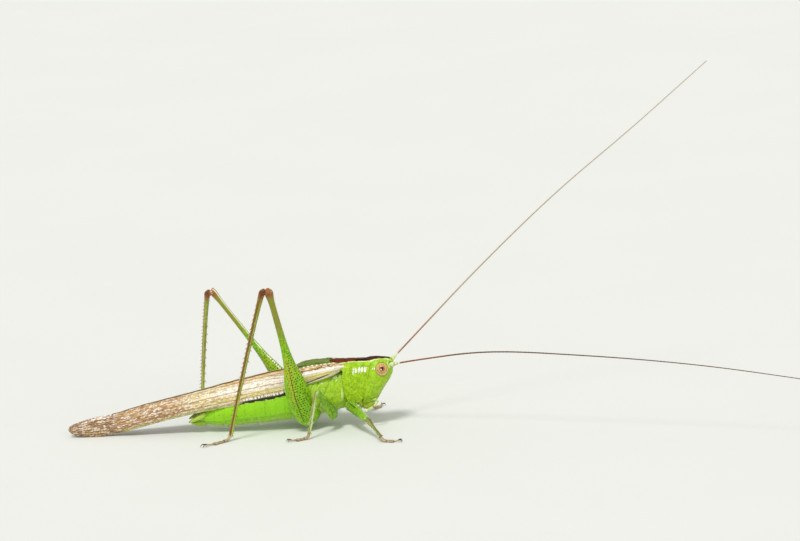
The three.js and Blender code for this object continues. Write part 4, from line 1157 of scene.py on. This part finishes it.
# Legs: rows are [share, half height, half width], and `spines` counts the spines in the row at each angle.
foreSpines = dict(cap=0.03, bow=0.0, spines={150: 5, -150: 5}, spineLength=0.12, spineSize=0.022)
shin = dict(rows=120, columns=32, squareness=0.08, spurs=(40, -40, 140, -140), spurSize=0.04)
legShapes = dict(
    fore=dict(foreSpines, coxa=(0.38, 0.3), ahead=0.25, rows=70, columns=72, kneeTone=0.3, kneeReach=0.1,
              back=(0.6, 0.95),
              femur=[[0, 0.26, 0.22], [0.2, 0.37, 0.28], [0.6, 0.33, 0.25], [0.9, 0.21, 0.18],
                     [1, 0.2, 0.18]],
              tibia=[[0, 0.14, 0.13], [0.1, 0.19, 0.17], [0.24, 0.17, 0.15], [0.4, 0.11, 0.105],
                     [0.93, 0.105, 0.1], [1, 0.13, 0.12]]),
    mid=dict(foreSpines, coxa=(0.38, 0.3), ahead=0.1, rows=70, columns=72, kneeTone=0.3, kneeReach=0.1,
             back=(0.6, 0.95),
             femur=[[0, 0.3, 0.24], [0.12, 0.4, 0.3], [0.4, 0.34, 0.26], [0.85, 0.19, 0.16],
                    [1, 0.19, 0.17]],
             tibia=[[0, 0.13, 0.13], [0.06, 0.15, 0.14], [0.15, 0.11, 0.1], [0.93, 0.1, 0.095],
                    [1, 0.12, 0.11]]),
    hind=dict(cap=0.012, bow=0.08, spines={35: 27, -35: 27, 150: 9, -150: 9}, spineLength=0.17,
              spineSize=0.04, coxa=(0.56, 0.42), ahead=0.0, rows=150, columns=120, kneeTone=0.9,
              kneeReach=0.14, back=(0.0, 0.5),
              femur=[[0, 0.3, 0.24], [0.05, 0.56, 0.36], [0.1, 0.7, 0.43], [0.14, 0.77, 0.46],
                     [0.22, 0.83, 0.48], [0.3, 0.74, 0.45], [0.37, 0.6, 0.38], [0.44, 0.42, 0.3],
                     [0.52, 0.31, 0.24], [0.6, 0.245, 0.2], [0.75, 0.2, 0.17], [0.9, 0.2, 0.17],
                     [0.97, 0.28, 0.22], [1, 0.27, 0.22]],
              tibia=[[0, 0.18, 0.16], [0.02, 0.24, 0.19], [0.06, 0.2, 0.16], [0.15, 0.17, 0.13],
                     [0.4, 0.15, 0.12], [0.7, 0.135, 0.115], [0.93, 0.125, 0.105], [1, 0.15, 0.14]]),
)
femurLook = dict(
    mottle=3000.0, pitShade=("5f8a08", 0.3),
    marks=[("yolk", "a6b81e", 0.7), ("olive", "8a8c22", 0.6), ("knee", "98602a", 0.9),
           # On the femora, pale is mostly a painted highlight along the upper keel.
           ("scorch", "5c240c", 0.9), ("line", "3c360e", 0.5), ("pale", "eef2cc", 0.3),
           ("gleam", "f4dcc6", 0.3)],
    pits=(11000.0, 0.5, 0.5), roughness=(0.28, 0.45), coat=0.05, specular=0.35, glow=0.1)
shinLook = dict(pits=(14000.0, 0.5, 0.25), glow=0.1)
hindShinLook = dict(shinLook, mottle=1500.0, roughness=(0.35, 0.55), specular=0.25, glow=0.0)
looks = dict(
    femur=dict(femurLook, tones=("8cc012", "70a608"), dots=(0.16, 0.17, 0.33, "182606")),
    thigh=dict(femurLook, tones=("96cc0a", "7cb204"), dots=(0.185, 0.21, 0.33, "0a1401")),
    foreShin=dict(shinLook, tones=("93a04a", "78823a"),
                  marks=[("drum", "a0561f", 0.5), ("back", "6d6a35", 0.8)],
                  specks=(11000.0, 0.26, 0.35, "443f1f", None)),
    midShin=dict(shinLook, tones=("a8c05a", "8fae42"), specks=(11000.0, 0.26, 0.4, "5d6430", None),
                 marks=[("pale", "cfdc98", 0.7), ("knee", "d8dcb0", 0.5), ("back", "8a8a44", 0.9)]),
    hindShin=dict(hindShinLook, tones=("8e982c", "7c8624"), specks=(12000.0, 0.26, 0.4, "5a3412", None),
                  marks=[("low", "96a82a", 0.8), ("back", "7c5a12", 0.9), ("knee", "86581a", 0.9),
                         ("scorch", "5c240c", 0.9), ("pale", "d0cf7c", 0.5)]),
    farShin=dict(hindShinLook, tones=("a4b03a", "8ea02c"), specks=(12000.0, 0.24, 0.25, "7a5a24", None),
                 marks=[("low", "a0b434", 0.8), ("back", "a8742e", 0.9), ("knee", "a46a36", 0.9),
                        ("scorch", "5c240c", 0.9), ("pale", "dcdf94", 0.4)]),
    spine=dict(tones=("a4652c", "8a4a20"), mottle=3000.0, roughness=(0.25, 0.4)),
    foot=dict(tones=("b9a682", "9c8763"), mottle=6000.0, marks=[("dark", "5c4632", 0.6)], glow=0.1,
              specks=(14000.0, 0.26, 0.35, "4e3a28", None), pits=(14000.0, 0.5, 0.3),
              roughness=(0.35, 0.55)),
    claw=dict(tones=("5a3c26", "3f2818"), mottle=5000.0, roughness=(0.2, 0.35)),
)
finishes = {key: makeFinish(key + "Finish", look) for key, look in looks.items()}
limbGrids = []


# The lines of one leg, read from its solids: its joints, its foot's end, and the outer side of its knee.
def legLines(name):
    root = limbEnds(name + "_coxa", np.array([2.0, 0, 2.4]))[0]
    hip, knee = limbEnds(name + "_femur", root)
    shinTop, ankle = limbEnds(name + "_tibia", knee)
    along = unit(ankle - shinTop)
    foot = nodeCorners(name + "_tarsus")
    return dict(root=root, hip=hip, knee=knee, ankle=ankle, up=unit(unit(knee - hip) - along),
                top=shinTop + along * ((knee - shinTop) @ along + 0.02),
                reach=foot[np.argmax(np.linalg.norm((foot - ankle)[:, :2], axis=1))])


# The hip: a swollen cone from the body to the thigh, and the small ring between them.
def coxaShapes(kind, line):
    big, small = legShapes[kind]["coxa"]
    root, hip, up = line["root"], line["hip"], line["up"]
    ahead = np.array([legShapes[kind]["ahead"], 0, 0])
    marks = dict(pale=lambda s, t: 0.6 * hump(s, 0.9, 0.08))
    points = [root + unit(root - hip) * 0.15 + ahead, mixed(root, hip, 0.5) + ahead * 0.5,
              mixed(root, hip, 0.95)]
    radii = [[0, big * 0.8, big * 0.8], [0.4, big, big * 0.95], [1, small * 0.8, small * 0.8]]
    cone = rodShape(points, radii, up, columns=36, cap=0.12, marks=marks)
    points = [mixed(root, hip, 0.78), mixed(hip, line["knee"], 0.03)]
    radii = [[0, small * 0.7, small * 0.7], [0.5, small * 0.95, small * 0.9], [1, small * 0.7, small * 0.7]]
    return [cone, rodShape(points, radii, up, columns=32, cap=0.2, marks=marks)]


# The thigh: ovals from hip to knee with a keel above and below, and on the hind leg a herringbone relief,
# cos of 34 s + 2.2 |cos(turn)| full turns. Two lobes hold the shin's head.
def femurShapes(kind, line):
    spec, hind = legShapes[kind], kind == "hind"
    share = endRows(spec["rows"], 0.03)
    close = roundEnds(share, 0.03, 0.3)[:, None]
    tall, wide = (size[:, None] * close for size in sizesAlong(spec["femur"], share))
    outer, c = share[:, None], np.cos(fullTurn(spec["columns"])[None])
    keel = 0.02 * (hump(c, 1, 0.05) + hump(c, -1, 0.05))
    herring = 0.0
    if hind:
        herring = 0.006 * np.cos((outer * 34 + np.abs(c) * 2.2) * 2 * np.pi) * rise(1 - np.abs(c), 0.1, 0.4)
        herring = herring * fall(outer, 0.5, 0.7) - 0.03 * hump(c, -0.55, 0.07) * fall(outer, 0.6, 0.8)
    path = mixed(line["hip"], line["knee"], outer)
    grid = limbGrid(path, tall + keel + herring, wide + herring, line["up"], spec["columns"])
    limbGrids.append(grid)
    lines = 0.95 * hump(c, mixed(-0.36, -0.5, outer), 0.045)
    lines = lines + 0.7 * hump(c, mixed(-0.12, -0.1, outer), 0.03)
    marks = dict(
        olive=rise(outer, 0.35, 0.9) * hind * 0.85,
        knee=rise(outer, 0.9, 0.99) * spec["kneeTone"],
        scorch=hump(outer, 0.972, 0.01) * hind * 0.5,
        line=np.clip(lines + (not hind) * hump(c, 0.72, 0.1), 0, 1)
        * fall(outer, 0.4, 0.6) * rise(outer, 0.01, 0.05) * 0.9,
        yolk=(0.8 * hump(c, -0.5, 0.25) * hump(outer, 0.3, 0.22) + 0.5 * hump(outer, 0.42, 0.12)) * hind,
        # pale: a painted highlight along the upper keel, and on the fore femur a pale band besides.
        pale=hump(c, 1, 0.016) * rise(outer, 0.02, 0.1) * (0.9 if hind else 0.45)
        + 0.42 * hump(c, 0.25, 0.09) * rise(outer, 0.15, 0.5) * (kind == "fore"),
        gleam=hump(outer, 0.985, 0.012) * hump(c, 0.2, 0.5) * 0.8,
        dotted=rise(c, -0.95, -0.8) * mixed(0.75, 1, rise(c, -0.6, -0.3))
        * fall(outer, 0.45, 0.8) * rise(outer, 0.02, 0.06))
    lobeMarks = dict(knee=lambda s, t: spec["kneeTone"], scorch=lambda s, t: 0.4 * rise(s, 0.6, 0.9) * hind,
                     gleam=lambda s, t: hump(s, 0.5, 0.16) * rise(np.cos(t), 0.5, 0.8))
    across = unit(np.cross(unit(line["knee"] - line["hip"]), line["up"]))
    back = unit(line["hip"] - line["knee"])
    size, wideEnd = spec["femur"][-1][1:]
    radii = [[0, size * 0.5, size * 0.3], [0.6, size * 0.7, size * 0.34], [1, size * 0.4, size * 0.2]]
    shapes = [gridShape(grid, marks)]
    for way in (-1, 1):
        centre = line["knee"] + across * way * wideEnd * 0.72
        lobe = [centre + back * size, centre - back * size * 0.45 - line["up"] * size * 0.35]
        shapes.append(rodShape(lobe, radii, line["up"], cap=0.25, marks=lobeMarks))
    return shapes


# The shin: slim ovals from the knee's head to the ankle, bowed backwards by the parabola 4 bow s (1 - s),
# with rows of spines along it and four spurs at its end.
def tibiaShapes(kind, line):
    spec, hind = legShapes[kind], kind == "hind"
    top, ankle, cap = line["top"], line["ankle"], spec["cap"]
    along = unit(ankle - top)
    outwards = unit(line["up"] - (line["up"] @ along) * along)
    across = unit(np.cross(along, outwards))

    def middle(s):
        return mixed(top, ankle, s[:, None]) + (4 * spec["bow"] * s * (1 - s))[:, None] * outwards

    def facingAt(angle):
        return math.cos(math.radians(angle)) * outwards + math.sin(math.radians(angle)) * across

    share = endRows(shin["rows"], cap)
    reach = line["knee"] + 0.25 * unit(line["hip"] - line["knee"]) - top
    path = middle(share) + 0.55 * reach * hump(share, 0, 1.6 * cap)[:, None]
    outer, turn = share[:, None], fullTurn(shin["columns"])[None]
    square = 1 + shin["squareness"] * np.cos(4 * (turn - np.pi / 4))
    close = roundEnds(share, cap, 0.2)[:, None]
    tall, wide = (size[:, None] * close for size in sizesAlong(spec["tibia"], share))
    grid = limbGrid(path, tall * square, wide * square, line["up"], shin["columns"])
    limbGrids.append(grid)
    pale = hump(np.cos(turn), -0.1, 0.22) * rise(outer, 0.1, 0.2) * hind * 0.6
    marks = dict(
        knee=0.9 * fall(outer, 0.03, spec["kneeReach"]), scorch=0.55 * fall(outer, 0.03, 0.1) * hind,
        drum=hump(outer, 0.17, 0.06) * hump(np.abs(np.sin(turn)), 1.0, 0.25) * (kind == "fore"),
        low=rise(outer, 0.55, 0.9), back=0.8 * rise(np.cos(turn), *spec["back"]),
        pale=hump(outer, 0.6, 0.4) if kind == "mid" else pale)
    shapes = [gridShape(grid, marks)]
    for angle, number in spec["spines"].items():
        at = mixed(0.1 if abs(angle) < 90 else 0.3, 0.975, (np.arange(number) + 0.5) / number)
        facing = facingAt(angle)
        roots = middle(at) + facing * sizesAlong(spec["tibia"], at)[0][:, None] * 0.85
        lengths = spec["spineLength"] * (0.8 + 0.5 * hashed(at * 50, angle, 1)) * (0.7 + 0.5 * at)
        shapes.append(coneShape(roots, np.broadcast_to(unit(facing + along * 0.75), roots.shape), lengths,
                                spec["spineSize"], lean=along * 0.35, paint=1))
    for angle in shin["spurs"]:
        root = ankle - along * 0.08 + facingAt(angle) * spec["tibia"][-1][1] * 0.7
        ahead = unit(facingAt(angle) * 0.5 + along)
        shapes.append(coneShape(root[None], ahead[None], [spec["spineLength"] * 1.7], shin["spurSize"],
                                paint=1))
    return shapes


# Each part of a foot: its line as [share of the foot, height, aside], its radii and the cap of its ends.
footJoints = [
    ([[0.25, 0.095], [0.42, 0.09]], [[0, 0.07, 0.1], [0.7, 0.085, 0.14], [1, 0.07, 0.12]], 0.15),
    ([[0.56, 0.11], [0.7, 0.1], [0.86, 0.17]], [[0, 0.05, 0.055], [0.7, 0.05, 0.055], [1, 0.065, 0.07]],
     0.08),
]
footLobe = ([[0.4, 0.09, 0.03], [0.6, 0.075, 0.15]],
            [[0, 0.06, 0.08], [0.65, 0.07, 0.11], [1, 0.05, 0.07]], 0.2)
footPad = ([[0.28, 0.05, 0.04], [0.4, 0.045, 0.06]], [[0, 0.04, 0.05], [1, 0.04, 0.05]], 0.3)
footClaw = ([[0.84, 0.17, 0.04], [0.93, 0.19, 0.12], [1.0, 0.04, 0.17]],
            [[0, 0.045, 0.045], [0.5, 0.035, 0.03], [1, 0.006, 0.006]], 0.05)


# The foot: a short heel, two padded joints, a joint with two lobes, a slim last joint and two hooked claws.
def tarsusShapes(line):
    ankle, flat = line["ankle"], (line["reach"] - line["ankle"]) * [1, 1, 0]
    ahead, length = unit(flat), np.linalg.norm(flat)
    across, up = np.array([-ahead[1], ahead[0], 0]), np.array([0, 0, 1.0])
    dark = dict(dark=lambda s, t: 0.9 * hump(s, 0.97, 0.08) + 0.35 * np.maximum(np.cos(t), 0))

    def spot(share, height, aside=0.0):
        return ankle * [1, 1, 0] + ahead * length * share + across * aside + up * height

    def part(kind, way=1, **more):
        points, radii, cap = kind
        path = [spot(share, height, *(way * far for far in aside)) for share, height, *aside in points]
        return rodShape(path, radii, up, cap=cap, **more)

    heel = rodShape([ankle - up * 0.02, spot(0.1, 0.17), spot(0.27, 0.1)],
                    [[0, 0.1, 0.11], [0.5, 0.1, 0.12], [1, 0.085, 0.13]], up, cap=0.1, marks=dark)
    shapes = [heel, *(part(joint, marks=dark) for joint in footJoints)]
    for way in (-1, 1):
        shapes += [part(footLobe, way, marks=dark), part(footPad, way),
                   part(footClaw, way, columns=10, paint=1)]
    return shapes


for kind in legShapes:
    for name, side in sides.items():
        node = f"{kind}_{name}"
        label = kind + name.title()
        line = legLines(node)
        hind = kind == "hind"
        shinSkin = "farShin" if hind and side > 0 else kind + "Shin"
        for part, shapes, skins, slot in (
                ("coxa", coxaShapes(kind, line), ["femur"], "leg"),
                ("femur", femurShapes(kind, line), ["thigh" if hind else "femur"], "leg"),
                ("tibia", tibiaShapes(kind, line), [shinSkin, "spine"], "hind_tibia" if hind else "tibia"),
                ("tarsus", tarsusShapes(line), ["foot", "claw"], "tarsus")):
            makePiece(label + part.title(), shapes, [finishes[skin] for skin in skins],
                      (f"{node}_{part}",))


# Fine hairs, so many on the belly and on each part of a limb.
hairs = dict(belly=1500, limb=150, length=0.2, limbLength=0.14, radius=0.012, patch=0.003,
             border=0.01, tiles=4, seed=11)
hairFinish = bpy.data.materials.new("hairFinish")
hairFinish.use_nodes = True
hairTree = hairFinish.node_tree
hairShader = hairTree.nodes["Principled BSDF"].inputs
hairTone = placed(hairTree, mottle, {"Vector": addNode(hairTree, "TexCoord").outputs["Object"],
                                     "Scale": 5000.0, "Light": tone("eef0d2"), "Dark": tone("cfd8a0")})
hairTree.links.new(hairTone["Color"], hairShader["Base Color"])
hairShader["Roughness"].default_value = 0.4


# Bent cones rooted at random places of a grid, weighted by `share` and leaning along its rows. Each has
# a patch of the map where its root lies on the grid's own unwrap, in the tile (column, row, tiles a side).
def hairShape(grid, share, count, length, draw, tile=(0, 0, 1)):
    normals, along = gridNormals(grid), unit(np.gradient(grid, axis=0))
    weight = np.broadcast_to(share, grid.shape[:2]).ravel()
    picked = draw.choice(weight.size, count, p=weight / weight.sum())
    roots, out, lean = (part.reshape(-1, 3)[picked] for part in (grid, normals, along))
    lengths = length * draw.uniform(0.6, 1.4, count)
    directions = unit(out + lean * draw.uniform(0.2, 0.8, (count, 1)) + draw.normal(0, 0.2, (count, 3)))
    shape = coneShape(roots, directions, lengths, hairs["radius"], lean=(0, 0, -0.2), ringSides=4)
    place = np.stack(np.divmod(picked, grid.shape[1]), 1) / grid.shape[:2]
    place = (place * (1 - 2 * hairs["border"]) + np.array(tile[:2])) / tile[2] + hairs["border"]
    for key in ("quadFlow", "triangleFlow"):
        corners = shape[key].shape[0] // count
        angle = fullTurn(corners * shape[key].shape[1])
        ring = np.stack([np.cos(angle), np.sin(angle)], 1).reshape(corners, -1, 2) * hairs["patch"] / 2
        shape[key] = (place[:, None, None] + ring[None]).reshape(shape[key].shape)
    return shape


draw = np.random.default_rng(hairs["seed"])
down = np.abs(fullTurn(body["columns"])[None] - np.pi)
under = fall(down, 0.5, 1.1) * rise(3.0 - trunkGrid[..., 0], 0, 1) + 0.02
bellyHairs = hairShape(trunkGrid, under, hairs["belly"], hairs["length"], draw)
makePiece("bellyHairs", [bellyHairs], [hairFinish], mapName="OFBake")
tiles = hairs["tiles"]
limbHairs = [hairShape(grid, 1.0, hairs["limb"], hairs["limbLength"], draw, (i % tiles, i // tiles, tiles))
             for i, grid in enumerate(limbGrids)]
makePiece("limbHairs", limbHairs, [hairFinish], mapName="OFBake")
